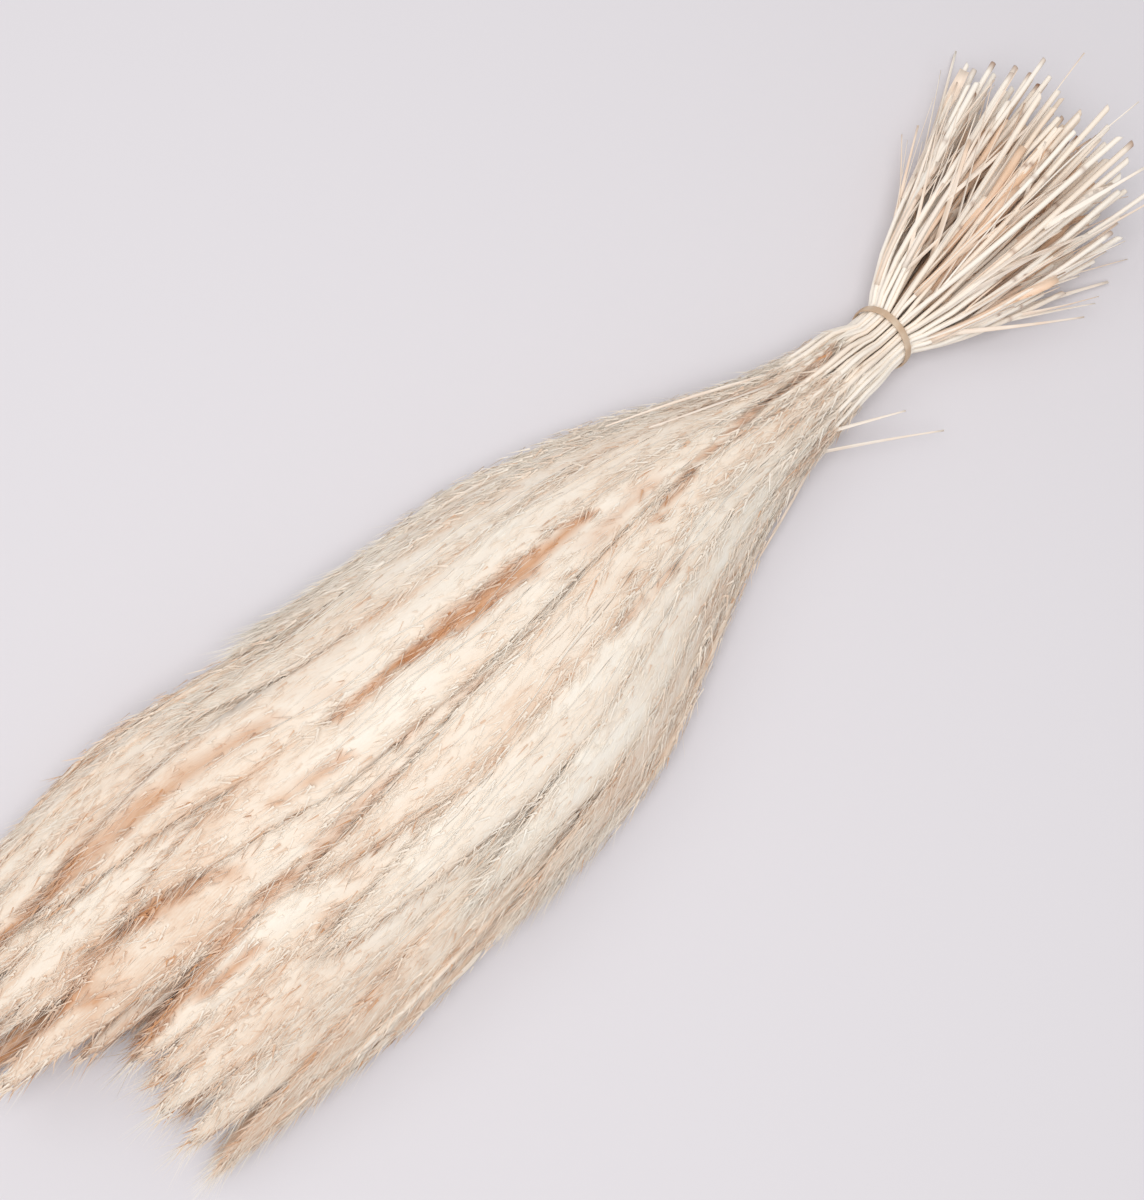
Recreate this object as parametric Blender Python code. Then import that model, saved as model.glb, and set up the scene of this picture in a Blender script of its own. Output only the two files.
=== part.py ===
"""A bundle of dried, bleached bent grass, tied near its cut ends and lying on a flat surface.

Metres. X runs along the bundle from the cut stem ends (negative) to the tips of the seed heads
(positive), Y across it, Z up. The origin is on the surface, under the tie.

Every stem keeps one place in a unit disc, the bundle's cross-section, from its cut end to its
tip. place() says where that disc lies at each x, so the stems part and come together as the
bundle does and never run through each other.
"""

import math

import bmesh
import bpy
import numpy as np

MM = 0.001

# The tie, a flat rubber band
TIE_INNER_RADIUS = 16.1 * MM
TIE_THICKNESS = 1.1 * MM
TIE_WIDTH = 3.3 * MM
TIE_LEAN = math.radians(15)
TIE_SEGMENTS = 24

# Stems at the tie, squeezed in threes into tufts that stand in rings round the middle one
TUFT_RADIUS = 2.1 * MM
TUFT_PITCH = 4.5 * MM
RINGS = (("core", 1), ("inner", 6), ("middle", 12), ("outer", 18))
STEMS_IN_TUFT = 3
TRUNK_HALF_LENGTH = 6.5 * MM

# The whole bundle
LONGEST_CUT_END = 142.0 * MM
LONGEST_TIP = 552.0 * MM
NECK_SWELL = 3.5 * MM
PLUME_SPREAD = 69.0 * MM
TIP_SPREAD = 20.0 * MM
PLUME_HALF_HEIGHT = 36.0 * MM
TIP_HALF_HEIGHT = 18.0 * MM
FAN_FLARE = 13.0 * MM
FAN_SPREAD = 0.27
FAN_RISE = 0.35
FAN_SWING = 0.085
PLUME_SWING = ((6, 24, -2), (30, 130, -8), (140, 260, 8), (290, 410, -7))
SURFACE_GAP = 1.6 * MM
EDGE_LIFT = 0.92

# One stem and its seed head
STEM_RADIUS = 1.45 * MM
SQUEEZED_SHARE = 0.054
RACHIS_RADIUS = 0.85 * MM
RACHIS_TIP_RADIUS = 0.45 * MM
STRAIGHT_STATIONS = tuple(x * MM for x in (14, 50, 90, 140, 200, 270))
FAN_STATIONS = tuple(x * MM for x in (-14, -42))
WHORL_SPACING = 35.0 * MM
BRANCH_REACH = 16.5 * MM
BRANCH_CLEARANCE = 0.9 * MM
LEAST_REACH = 2.2 * MM
ORDER = 0.6
SHARE_OF_LENGTH = (0.60, 0.79, 1.0)

# Dry leaf strips that stand off some stems. A stray one has its root and its tip given in mm.
LEAF_ROOT = 5.0 * MM
FAN_LEAF_LENGTH = 60.0 * MM
PLUME_LEAF_LENGTH = 90.0 * MM
STRAY_LEAVES = {
    "grass_tuft_outer_05": (58, (18, 54, 22)),
    "grass_tuft_outer_06": (60, (27, 35, 37)),
}

SEED = 20
DRAWS_PER_STEM = 16

ENVELOPE = (len(RINGS) - 1) * TUFT_PITCH + TUFT_RADIUS
TIE_OUTER_RADIUS = TIE_INNER_RADIUS + TIE_THICKNESS
TIE_HEIGHT = TIE_OUTER_RADIUS * math.cos(math.pi / TIE_SEGMENTS)
TIE_FOOT_X = TIE_OUTER_RADIUS * math.tan(TIE_LEAN) * math.cos(math.pi / TIE_SEGMENTS)


def smooth(u):
    """0 below 0, 1 above 1, and an S-curve between."""
    u = np.clip(u, 0.0, 1.0)
    return u * u * (3 - 2 * u)


def flare(x):
    """How far the fan of cut ends has opened at x: quickly just behind the tie, then evenly."""
    behind = np.maximum(-x - TRUNK_HALF_LENGTH, 0.0)
    return FAN_FLARE * (1 - np.exp(-behind / (20 * MM))) + FAN_SPREAD * behind


def rise(x, start, end):
    """0 before start, 1 after end, both in millimetres along the bundle."""
    return smooth((x / MM - start) / (end - start))


def half_width(x):
    neck = NECK_SWELL * rise(x, 6, 20)
    plume = PLUME_SPREAD * rise(x, 10, 280) + TIP_SPREAD * rise(x, 240, 420)
    return ENVELOPE + neck + plume + flare(x)


def half_height(x):
    neck = NECK_SWELL * rise(x, 6, 20)
    plume = (PLUME_HALF_HEIGHT - ENVELOPE - NECK_SWELL) * rise(x, 10, 270)
    droop = (PLUME_HALF_HEIGHT - TIP_HALF_HEIGHT) * rise(x, 350, 570)
    return ENVELOPE + neck + plume - droop + FAN_RISE * flare(x)


def side_shift(x):
    fan = FAN_SWING * np.minimum(x + TRUNK_HALF_LENGTH, 0.0)
    return fan + sum(by * MM * rise(x, start, end) for start, end, by in PLUME_SWING)


def place(x, a, b):
    """(y, z) of the disc's point (a, b) at x. Away from the tie the disc settles on the surface.

    Settling lowers each upright line of the disc until its foot is almost down, so a round
    section becomes a loaf, and neighbours stay neighbours.
    """
    settled = smooth((np.abs(x) - 10 * MM) / (110 * MM))
    foot = (TIE_HEIGHT - ENVELOPE) + (SURFACE_GAP - TIE_HEIGHT + ENVELOPE) * settled
    line = np.sqrt(np.clip(1 - (EDGE_LIFT * a) ** 2, 0.0, 1.0))
    y = side_shift(x) + a * half_width(x)
    z = foot + (b + settled * line + (1 - settled)) * half_height(x)
    return np.stack([y, z], axis=-1)


class Stem:
    """One stem: its place in the disc, its ends, and where its seed head starts."""

    def __init__(self, tuft_angle, tuft_place, member, draws):
        self.member = member
        self.angle = tuft_angle + math.radians(120) * member
        self.tuft = np.array(tuft_place)
        self.draws = draws
        self.turn = self.angle + math.pi
        self.head_side = int(4 * draws[0])
        a, b = self.tuft + 0.09 * np.array([math.cos(self.angle), math.sin(self.angle)])
        short = 14 * a * a + 24 * draws[1] + 55 * float(smooth((a - 0.72) / 0.25))
        self.cut = short * MM - LONGEST_CUT_END
        right = 80 * float(smooth((a + 0.1) / 0.3)) * (1 - 0.75 * abs(a))
        end = LONGEST_TIP - (45 * a * a + right) * MM
        self.tip = end * (SHARE_OF_LENGTH[member] + 0.10 * (draws[2] - 0.5))
        self.tip = min(self.tip, end)
        self.head = self.tip - (225 + 60 * draws[3]) * MM
        self.head = max(self.head, (62 + 20 * draws[3]) * MM)
        whorls = max(4, round((self.tip - self.head) / WHORL_SPACING))
        self.shares = (np.arange(whorls + 1) / (whorls + 0.6)) ** 0.92
        self.whorls = self.head + self.shares * (self.tip - self.head)
        self.straight = [x for x in STRAIGHT_STATIONS if x < self.head - 16 * MM]
        self.fan = [x for x in FAN_STATIONS if x > self.cut + 8 * MM]
        ends = (-TRUNK_HALF_LENGTH, TRUNK_HALF_LENGTH)
        corners = [self.cut, *self.fan[::-1], *ends, *self.straight, *self.whorls, self.tip]
        self.corners = np.array(corners)
        self.corner_spots = self.centre(self.corners)

    def spot(self, x):
        """(a, b) at x, or one row for each x: the tuft's place, an offset and a slow drift."""
        x = np.asarray(x, float)
        share = smooth((np.abs(x) - TRUNK_HALF_LENGTH) / (120 * MM))
        offset = 0.0673 + (0.093 - 0.0673) * share
        angle = self.angle + 0.5 * (self.draws[4] - 0.5) * share
        ahead = (x > 0)[..., None]
        drift = 0.05 * (np.where(ahead, self.draws[5:7], self.draws[7:9]) - 0.5)
        around = np.stack([np.cos(angle), np.sin(angle)], axis=-1)
        return self.tuft + offset[..., None] * around + drift * share[..., None]

    def centre(self, x):
        """(y, z) of the stem's middle at x, or one row for each x."""
        spots = self.spot(x)
        return place(np.asarray(x, float), spots[..., 0], spots[..., 1])

    def line(self, x):
        """(y, z) at x on the straight pieces between the stem's rings."""
        return np.stack([np.interp(x, self.corners, spots) for spots in self.corner_spots.T], -1)


def tuft_places():
    """(name, angle of the tuft's first stem, its place in the disc) for every tuft."""
    for ring, (name, count) in enumerate(RINGS):
        for i in range(count):
            around = math.radians(-90) + 2 * math.pi * (i + 0.5) / count
            radius = ring * TUFT_PITCH / ENVELOPE
            at = (radius * math.cos(around), radius * math.sin(around))
            label = f"grass_tuft_{name}_{i + 1:02d}" if count > 1 else f"grass_tuft_{name}"
            yield label, around, at


def ring_points(x, centre, turn, sides, across, along=None):
    """Corners round centre in the plane at x, the first one in the direction of turn."""
    along = across if along is None else along
    angles = turn + 2 * math.pi * np.arange(sides) / sides
    radial = np.array([math.cos(turn), math.sin(turn)])
    tangent = np.array([-radial[1], radial[0]])
    rel = angles - turn
    offsets = np.outer(along * np.cos(rel), radial) + np.outer(across * np.sin(rel), tangent)
    points = np.empty((sides, 3))
    points[:, 0] = x
    points[:, 1:] = np.asarray(centre) + offsets
    return points


class Skin:
    """The points and faces of one closed mesh, laid down ring by ring."""

    def __init__(self):
        self.points = []
        self.faces = []

    def add(self, points):
        start = len(self.points)
        self.points.extend(np.atleast_2d(points))
        return list(range(start, len(self.points)))

    def bridge(self, near, far, peaks=None):
        """Side faces between two rings. A side with a peak becomes a blade that ends in it.

        The order of the corners splits a twisted side along its outer diagonal.
        """
        peaks = peaks or {}
        count = len(near)
        for k in range(count):
            k2 = (k + 1) % count
            loop = [near[k2], far[k2], far[k], near[k]]
            if k not in peaks:
                self.faces.append(loop)
                continue
            (peak,) = self.add(peaks[k])
            self.faces.extend([loop[i], loop[(i + 1) % 4], peak] for i in range(4))

    def narrow(self, four, three):
        """Side faces between a ring of four and a ring of three."""
        self.faces.append([four[3], four[0], three[0]])
        self.faces.append([four[0], four[1], three[1], three[0]])
        self.faces.append([four[1], four[2], three[2], three[1]])
        self.faces.append([four[2], four[3], three[0], three[2]])

    def finish(self, name, colour, roughness):
        """The skin as an object whose faces all point out, moved to put the origin under the tie."""
        mesh = bpy.data.meshes.new(name)
        mesh.from_pydata([(x - TIE_FOOT_X, y, z) for x, y, z in self.points], [], self.faces)
        shape = bmesh.new()
        shape.from_mesh(mesh)
        bmesh.ops.recalc_face_normals(shape, faces=shape.faces)
        shape.to_mesh(mesh)
        shape.free()
        mesh.materials.append(material(name, colour, roughness))
        obj = bpy.data.objects.new(name, mesh)
        bpy.context.scene.collection.objects.link(obj)
        return obj


def material(name, colour, roughness):
    made = bpy.data.materials.new(name)
    made.use_nodes = True
    shader = made.node_tree.nodes["Principled BSDF"]
    shader.inputs["Base Color"].default_value = (*colour, 1.0)
    shader.inputs["Roughness"].default_value = roughness
    shader.inputs["Metallic"].default_value = 0.0
    return made


def clear_peak(stem, others, ends, x_peak, direction, reach):
    """The tip of a branch, as far out as reach lets it while nearer its own stem than any other.

    ends are the x of the two rings it grows between. It is tried from full reach down, at four
    points along it, against the middle plane between the stem and each stem that still stands
    there. None if it would be too short to clear the stem's own bend.
    """
    x_root = sum(ends) / 2
    along = np.array([0.4, 0.6, 0.8, 1.0])
    x = x_root + along * (x_peak - x_root)
    root, own_line = stem.line(x_root), stem.line(x)
    near, far = stem.line(ends[0]), stem.line(ends[1])
    ahead = far + (far - near) * (x_peak - ends[1]) / (ends[1] - ends[0])
    bend = np.hypot(*(ahead - own_line[-1]))
    reaches = np.arange(reach, LEAST_REACH + bend, -0.3 * MM)
    tips = own_line[-1] + reaches[:, None] * direction
    tips[:, 1] = np.maximum(tips[:, 1], 0.0)
    spots = root + along[:, None] * (tips[:, None] - root)
    own = np.linalg.norm(spots - own_line, axis=-1)
    clear = np.full(len(tips), True)
    for other in others:
        away = np.linalg.norm(spots - other.line(x), axis=-1)
        clear &= ((away - own > BRANCH_CLEARANCE) | (x > other.tip + 12 * MM)).all(axis=1)
    if not clear.any():
        return None
    return np.array([x_peak, *tips[np.argmax(clear)]])


def neighbours(stem, stems):
    """The stems whose place in the disc is near enough to meet this one's branches."""
    return [s for s in stems if s is not stem and np.hypot(*(s.spot(0.2) - stem.spot(0.2))) < 0.5]


def head_profile(u):
    """How far branches reach at share u of the seed head, as a spindle fullest before halfway."""
    return 0.45 + 0.55 * math.sin(math.pi * min(1.0, u + 0.12) ** 0.8)


def grow_head(skin, stem, ring, turn, others, rng):
    """The seed head: whorls of three pointed branches raised from the thinning stem."""
    steepest = [math.inf] * 3
    for x0, x1, share in zip(stem.whorls, stem.whorls[1:], stem.shares[1:]):
        twist = math.radians(50 + 16 * (rng.random() - 0.5))
        peaks, slopes = {}, [math.inf] * 3
        for k in range(3):
            toward = turn + twist / 2 + math.radians(60 + 120 * k) + 0.5 * (rng.random() - 0.5)
            direction = np.array([math.cos(toward), math.sin(toward)])
            peak_x = min(x1 + (0.6 + 0.5 * rng.random()) * (x1 - x0), stem.tip + 9 * MM)
            reach = BRANCH_REACH * head_profile(share) * (0.75 + 0.5 * rng.random())
            # A branch stays under the earlier ones on each side of it, so they never cross.
            under = min(steepest[k], steepest[(k + 1) % 3])
            reach = min(reach, ORDER * under * (peak_x - x0))
            peak = clear_peak(stem, others, (x0, x1), peak_x, direction, reach)
            if peak is not None:
                peaks[k] = peak
                slopes[k] = np.hypot(*(peak[1:] - stem.line(peak_x))) / (peak_x - x1)
        steepest = slopes
        turn += twist
        radius = RACHIS_RADIUS + (RACHIS_TIP_RADIUS - RACHIS_RADIUS) * share
        far = skin.add(ring_points(x1, stem.centre(x1), turn, 3, radius))
        skin.bridge(ring, far, peaks)
        ring = far
    (tip,) = skin.add([stem.tip, *stem.centre(stem.tip)])
    skin.faces.extend([ring[k], ring[(k + 1) % 3], tip] for k in range(3))


def leaf_tip(stem, root, length, lift):
    """The tip of a leaf strip that leans off the bundle, away from its middle."""
    x = root + length
    tip = stem.centre(x)
    out = tip - place(x, 0.0, 0.0)
    tip = tip + lift * out / np.hypot(*out)
    return np.array([x, tip[0], max(tip[1], 1 * MM)])


def leaves_of(name, stem):
    """{x of the ring it grows before: tip} for the stem's leaf strips."""
    if stem.member or np.hypot(*stem.tuft) < 0.8:
        return {}
    if name in STRAY_LEAVES:
        root, tip = STRAY_LEAVES[name]
        return {root * MM: np.array(tip) * MM}
    chance, length, lift = stem.draws[9:12]
    leaves = {}
    if stem.tuft[1] > -0.3 and chance < 0.6:
        root = 0.6 * stem.cut
        length = FAN_LEAF_LENGTH * (0.7 + 0.5 * length)
        leaves[root] = leaf_tip(stem, root, -length, (8 + 8 * lift) * MM)
    if stem.tuft[1] > -0.3 and chance > 0.4 and len(stem.straight) > 2:
        root = stem.straight[1] + LEAF_ROOT
        length = PLUME_LEAF_LENGTH * (0.7 + 0.5 * length)
        leaves[root] = leaf_tip(stem, root, length, (4 + 6 * lift) * MM)
    return leaves


def run_stem(skin, stem, ring, stations, radius_at, leaves):
    """The plain stem from ring through the stations, with a leaf strip before some of them."""
    sign = math.copysign(1, stations[0]) if stations else 1
    for root in leaves:
        if root * sign > 0:
            before = root - sign * LEAF_ROOT
            stations = [x for x in stations if abs(x - before) > 3 * MM] + [before, root]
    for x in sorted(stations, key=abs):
        radius = radius_at(x)
        radial = min(radius, SQUEEZED_SHARE * half_width(x))
        centre = stem.centre(x)
        far = skin.add(ring_points(x, centre, stem.turn, 4, radius, radial))
        peaks = {}
        if x in leaves:
            toward = math.atan2(*(leaves[x][1:] - centre)[::-1])
            middles = stem.turn + math.pi / 2 * (np.arange(4) + 0.5)
            peaks[int(np.argmax(np.cos(middles - toward)))] = leaves[x]
        skin.bridge(ring, far, peaks)
        ring = far
    return ring


def grow_stem(skin, name, stem, trunk_ends, others, rng):
    """One stem from its trunk both ways: back to its cut end and forward through its seed head."""
    leaves = leaves_of(name, stem)
    near = run_stem(skin, stem, trunk_ends[0], stem.fan, lambda x: STEM_RADIUS, leaves)
    end = ring_points(stem.cut, stem.centre(stem.cut), stem.turn, 4, STEM_RADIUS)
    end[:, 0] += 5 * MM * (stem.draws[12] - 0.5) * np.array([-1.0, 0.0, 1.0, 0.0])
    end = skin.add(end)
    skin.bridge(near, end)
    skin.faces.append(end)

    def thinning(x):
        return STEM_RADIUS + (RACHIS_RADIUS - STEM_RADIUS) * smooth(x / stem.head)

    near = run_stem(skin, stem, trunk_ends[1], stem.straight, thinning, leaves)
    turn = stem.turn + math.pi / 2 * stem.head_side
    start = skin.add(ring_points(stem.head, stem.centre(stem.head), turn, 3, RACHIS_RADIUS))
    skin.narrow([near[(stem.head_side + k) % 4] for k in range(4)], start)
    grow_head(skin, stem, start, turn, others, rng)


def build_tuft(name, angle, tuft_place, stems, all_stems, rng):
    """Three stems that part from one short trunk inside the tie."""
    skin = Skin()
    ends = []
    for x in (-TRUNK_HALF_LENGTH, TRUNK_HALF_LENGTH):
        middle = place(x, *tuft_place)
        corners = skin.add(ring_points(x, middle, angle, 6, TUFT_RADIUS))
        (hub,) = skin.add([x, *middle])
        ends.append((corners, hub))
    skin.bridge(ends[0][0], ends[1][0])
    for i, stem in enumerate(stems):
        # Each stem takes a third of the trunk's end: the hub, two corners and the one between.
        trunk_ends = [
            [hub, corners[2 * i - 1], corners[2 * i], corners[(2 * i + 1) % 6]]
            for corners, hub in ends
        ]
        grow_stem(skin, name, stem, trunk_ends, neighbours(stem, all_stems), rng)
    return skin.finish(name, (0.86, 0.76, 0.62), 0.75)


def build_tie():
    """The flat rubber band, leaning towards the cut ends, with its lowest facet on the surface."""
    skin = Skin()
    rings = []
    for i in range(TIE_SEGMENTS):
        around = 2 * math.pi * (i + 0.5) / TIE_SEGMENTS - math.pi / 2
        up = math.sin(around)
        side = math.cos(around)
        corners = []
        for radius, along in (
            (TIE_INNER_RADIUS, -0.5),
            (TIE_OUTER_RADIUS, -0.5),
            (TIE_OUTER_RADIUS, 0.5),
            (TIE_INNER_RADIUS, 0.5),
        ):
            x = along * TIE_WIDTH - math.tan(TIE_LEAN) * TIE_OUTER_RADIUS * up
            corners.append((x, radius * side, TIE_HEIGHT + radius * up))
        rings.append(skin.add(np.array(corners)))
    for i in range(TIE_SEGMENTS):
        skin.bridge(rings[i], rings[(i + 1) % TIE_SEGMENTS])
    return skin.finish("tie_band", (0.62, 0.46, 0.33), 0.6)


def main():
    for obj in list(bpy.data.objects):
        bpy.data.objects.remove(obj, do_unlink=True)
    rng = np.random.default_rng(SEED)
    tufts = []
    for name, angle, at in tuft_places():
        stems = [Stem(angle, at, m, rng.random(DRAWS_PER_STEM)) for m in range(STEMS_IN_TUFT)]
        tufts.append((name, angle, at, stems))
    all_stems = [stem for *_, stems in tufts for stem in stems]
    for name, angle, at, stems in tufts:
        build_tuft(name, angle, at, stems, all_stems, rng)
    build_tie()


main()
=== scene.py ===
"""The looks of a bundle of dried, bleached bent grass, tied near its cut ends and lying on a table.

Metres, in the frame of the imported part: X runs from the cut ends to the tips of the seed heads,
Z is up, and the origin is on the surface under the tie. Every stem follows the rule that placed
the solid it stands for, so the fine straws, leaves and seed heads keep the form of the bundle.
"""

from __future__ import annotations

import logging
import math
from collections.abc import Iterator, Mapping, Sequence
from dataclasses import dataclass, field
from enum import Enum, IntEnum

import bpy
import numpy as np
from mathutils import Matrix, Vector

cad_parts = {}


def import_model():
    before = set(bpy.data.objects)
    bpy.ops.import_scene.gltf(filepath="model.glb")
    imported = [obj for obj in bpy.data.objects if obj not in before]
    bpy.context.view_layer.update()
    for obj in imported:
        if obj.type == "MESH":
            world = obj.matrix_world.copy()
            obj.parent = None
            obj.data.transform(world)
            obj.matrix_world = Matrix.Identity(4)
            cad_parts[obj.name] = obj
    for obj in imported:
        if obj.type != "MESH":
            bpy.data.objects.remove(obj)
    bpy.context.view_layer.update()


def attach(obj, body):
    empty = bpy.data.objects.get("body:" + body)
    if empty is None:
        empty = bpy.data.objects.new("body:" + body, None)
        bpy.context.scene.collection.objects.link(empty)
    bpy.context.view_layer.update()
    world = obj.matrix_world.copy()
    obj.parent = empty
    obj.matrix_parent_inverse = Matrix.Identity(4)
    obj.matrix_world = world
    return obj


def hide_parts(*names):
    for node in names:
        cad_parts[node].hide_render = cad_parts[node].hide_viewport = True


MM = 0.001
SEED = 20
DRAWS_PER_STEM = 16
STEMS_IN_TUFT = 3

log = logging.getLogger("bundle")


class Surface(IntEnum):
    """The finishes of a tuft, in the order of its material slots."""

    STRAW = 0
    LEAF = 1
    HUSK = 2


class Cap(Enum):
    """How a swept shape is closed: in a point at each end, or across the wall of a strip."""

    POLE = "pole"
    STRIP = "strip"


class Blend(Enum):
    """How one colour goes over into another: evenly, or slowly at both ends."""

    EVEN = "LINEAR"
    SOFT = "SMOOTHSTEP"


def smooth(u: np.ndarray | float) -> np.ndarray:
    """0 below 0, 1 above 1, and 3u² - 2u³ between.

    Args:
        u: Where on the curve, of any shape.

    Returns:
        The curve's height, of the same shape.
    """
    u = np.clip(u, 0.0, 1.0)
    return u * u * (3 - 2 * u)


def unit(v: np.ndarray) -> np.ndarray:
    """Vectors of length one.

    Args:
        v: Vectors along the last axis.

    Returns:
        The same directions, each divided by its length.
    """
    return v / np.maximum(np.linalg.norm(v, axis=-1, keepdims=True), 1e-12)


def drawn(
    rng: np.random.Generator, span: tuple[float, float], shape: tuple[int, ...] | int | None = None
) -> np.ndarray | float:
    """Random lengths: the span's first number plus a draw's share of its second.

    Args:
        rng: The draws.
        span: The least length and the most that a draw adds, in millimetres.
        shape: The shape of the result, or None for one number.

    Returns:
        The lengths in metres.
    """
    least, more = span
    return (least + more * rng.random(shape)) * MM


def linear(colour: str) -> tuple[float, float, float, float]:
    """An sRGB hex colour as linear red, green and blue with full alpha.

    Args:
        colour: Six hex digits after a hash sign.

    Returns:
        Each channel c as c / 12.92 up to 0.04045, and ((c + 0.055) / 1.055) ** 2.4 above it.
    """
    parts = [int(colour[i : i + 2], 16) / 255 for i in (1, 3, 5)]
    red, green, blue = (c / 12.92 if c <= 0.04045 else ((c + 0.055) / 1.055) ** 2.4 for c in parts)
    return red, green, blue, 1.0


def put(name: str, data: bpy.types.ID) -> bpy.types.Object:
    """An object linked to the scene.

    Args:
        name: The object's name.
        data: Its mesh, lamp or camera.

    Returns:
        The object.
    """
    made = bpy.data.objects.new(name, data)
    bpy.context.scene.collection.objects.link(made)
    return made


@dataclass(frozen=True)
class BundleForm:
    """Where the bundle's cross-section, a unit disc, lies at each x. Lengths in metres."""

    tie_inner_radius: float = 16.1 * MM
    tie_thickness: float = 1.1 * MM
    tie_lean: float = math.radians(15)
    tie_facets: int = 24
    tuft_radius: float = 2.1 * MM
    tuft_pitch: float = 4.5 * MM
    rings: tuple[tuple[str, int], ...] = (("core", 1), ("inner", 6), ("middle", 12), ("outer", 18))
    trunk_half_length: float = 6.5 * MM
    longest_cut_end: float = 142 * MM
    longest_tip: float = 552 * MM
    neck_swell: float = 3.5 * MM
    plume_spread: float = 69 * MM
    tip_spread: float = 20 * MM
    plume_half_height: float = 36 * MM
    tip_half_height: float = 18 * MM
    fan_flare: float = 13 * MM
    fan_spread: float = 0.27
    fan_rise: float = 0.35
    fan_swing: float = 0.085
    plume_swing: tuple[tuple[float, float, float], ...] = (
        (6, 24, -2),
        (30, 130, -8),
        (140, 260, 8),
        (290, 410, -7),
    )
    surface_gap: float = 1.6 * MM
    edge_lift: float = 0.92
    flare_length: float = 20 * MM
    settle_start: float = 10 * MM
    settle_length: float = 110 * MM
    # Where along the bundle each smooth step runs, in millimetres.
    neck_span: tuple[float, float] = (6, 20)
    width_span: tuple[float, float] = (10, 280)
    tip_span: tuple[float, float] = (240, 420)
    height_span: tuple[float, float] = (10, 270)
    droop_span: tuple[float, float] = (350, 570)
    # On the disc: a stem's distance from its tuft's middle in the tie and away from it, and its drift.
    trunk_offset: float = 0.0673
    stem_offset: float = 0.093
    drift: float = 0.05

    @property
    def envelope(self) -> float:
        """The radius of all tufts together inside the tie."""
        return (len(self.rings) - 1) * self.tuft_pitch + self.tuft_radius

    @property
    def tie_outer_radius(self) -> float:
        """The tie's inner radius and its thickness."""
        return self.tie_inner_radius + self.tie_thickness

    @property
    def tie_height(self) -> float:
        """The height of the tie's middle, with its lowest facet on the surface."""
        return self.tie_outer_radius * math.cos(math.pi / self.tie_facets)

    @property
    def tie_foot_x(self) -> float:
        """How far the leaning tie's foot is from its middle, along the bundle."""
        return self.tie_height * math.tan(self.tie_lean)

    def flare(self, x: np.ndarray) -> np.ndarray:
        """How far the fan of cut ends has opened at x: an exponential and a straight part."""
        behind = np.maximum(-x - self.trunk_half_length, 0.0)
        return self.fan_flare * (1 - np.exp(-behind / self.flare_length)) + self.fan_spread * behind

    def rise(self, x: np.ndarray, start: float, end: float) -> np.ndarray:
        """The smooth step along the bundle, between start and end in millimetres."""
        return smooth((x / MM - start) / (end - start))

    def half_width(self, x: np.ndarray) -> np.ndarray:
        """Half the disc's width: the sum of its smooth steps and the flare.

        Args:
            x: Along the bundle.

        Returns:
            The half width at each x.
        """
        neck = self.neck_swell * self.rise(x, *self.neck_span)
        plume = self.plume_spread * self.rise(x, *self.width_span)
        plume = plume + self.tip_spread * self.rise(x, *self.tip_span)
        return self.envelope + neck + plume + self.flare(x)

    def half_height(self, x: np.ndarray) -> np.ndarray:
        """Half the disc's height: the sum of its smooth steps and part of the flare.

        Args:
            x: Along the bundle.

        Returns:
            The half height at each x.
        """
        neck = self.neck_swell * self.rise(x, *self.neck_span)
        gain = self.plume_half_height - self.envelope - self.neck_swell
        plume = gain * self.rise(x, *self.height_span)
        droop = (self.plume_half_height - self.tip_half_height) * self.rise(x, *self.droop_span)
        return self.envelope + neck + plume - droop + self.fan_rise * self.flare(x)

    def side_shift(self, x: np.ndarray) -> np.ndarray:
        """How far the disc's middle swings aside at x."""
        fan = self.fan_swing * np.minimum(x + self.trunk_half_length, 0.0)
        return fan + sum(by * MM * self.rise(x, start, end) for start, end, by in self.plume_swing)

    def settled(self, x: np.ndarray) -> np.ndarray:
        """How far the disc has settled on the surface at x, from 0 at the tie to 1."""
        return smooth((np.abs(x) - self.settle_start) / self.settle_length)

    def foot(self, x: np.ndarray) -> np.ndarray:
        """The height of the disc's lowest point at x."""
        raised = self.tie_height - self.envelope
        return raised + (self.surface_gap - raised) * self.settled(x)

    def place(self, x: np.ndarray, a: np.ndarray, b: np.ndarray) -> np.ndarray:
        """Where the disc's point (a, b) lies at x.

        The width carries a aside. Each upright line of the disc, of half length
        sqrt(1 - (edge_lift a)²), is lowered as the disc settles, so the round becomes a loaf.

        Args:
            x: Along the bundle.
            a: Across the disc, -1 to 1.
            b: Up the disc, -1 to 1.

        Returns:
            y and z along a new last axis.
        """
        settled = self.settled(x)
        line = np.sqrt(np.clip(1 - (self.edge_lift * a) ** 2, 0.0, 1.0))
        y = self.side_shift(x) + a * self.half_width(x)
        z = self.foot(x) + (b + settled * line + (1 - settled)) * self.half_height(x)
        return np.stack([y, z], axis=-1)

    def disc(self, points: np.ndarray) -> tuple[np.ndarray, np.ndarray]:
        """Which points of the disc lie at the points given: the inverse of place().

        Args:
            points: x, y and z along the last axis.

        Returns:
            Across and up the disc, each 0 in its middle and 1 on its rim.
        """
        x, y, z = np.moveaxis(points, -1, 0)
        settled = self.settled(x)
        a = (y - self.side_shift(x)) / self.half_width(x)
        line = np.sqrt(np.clip(1 - (self.edge_lift * a) ** 2, 0.0, 1.0))
        b = (z - self.foot(x)) / self.half_height(x) - settled * line - (1 - settled)
        return a, b

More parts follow.
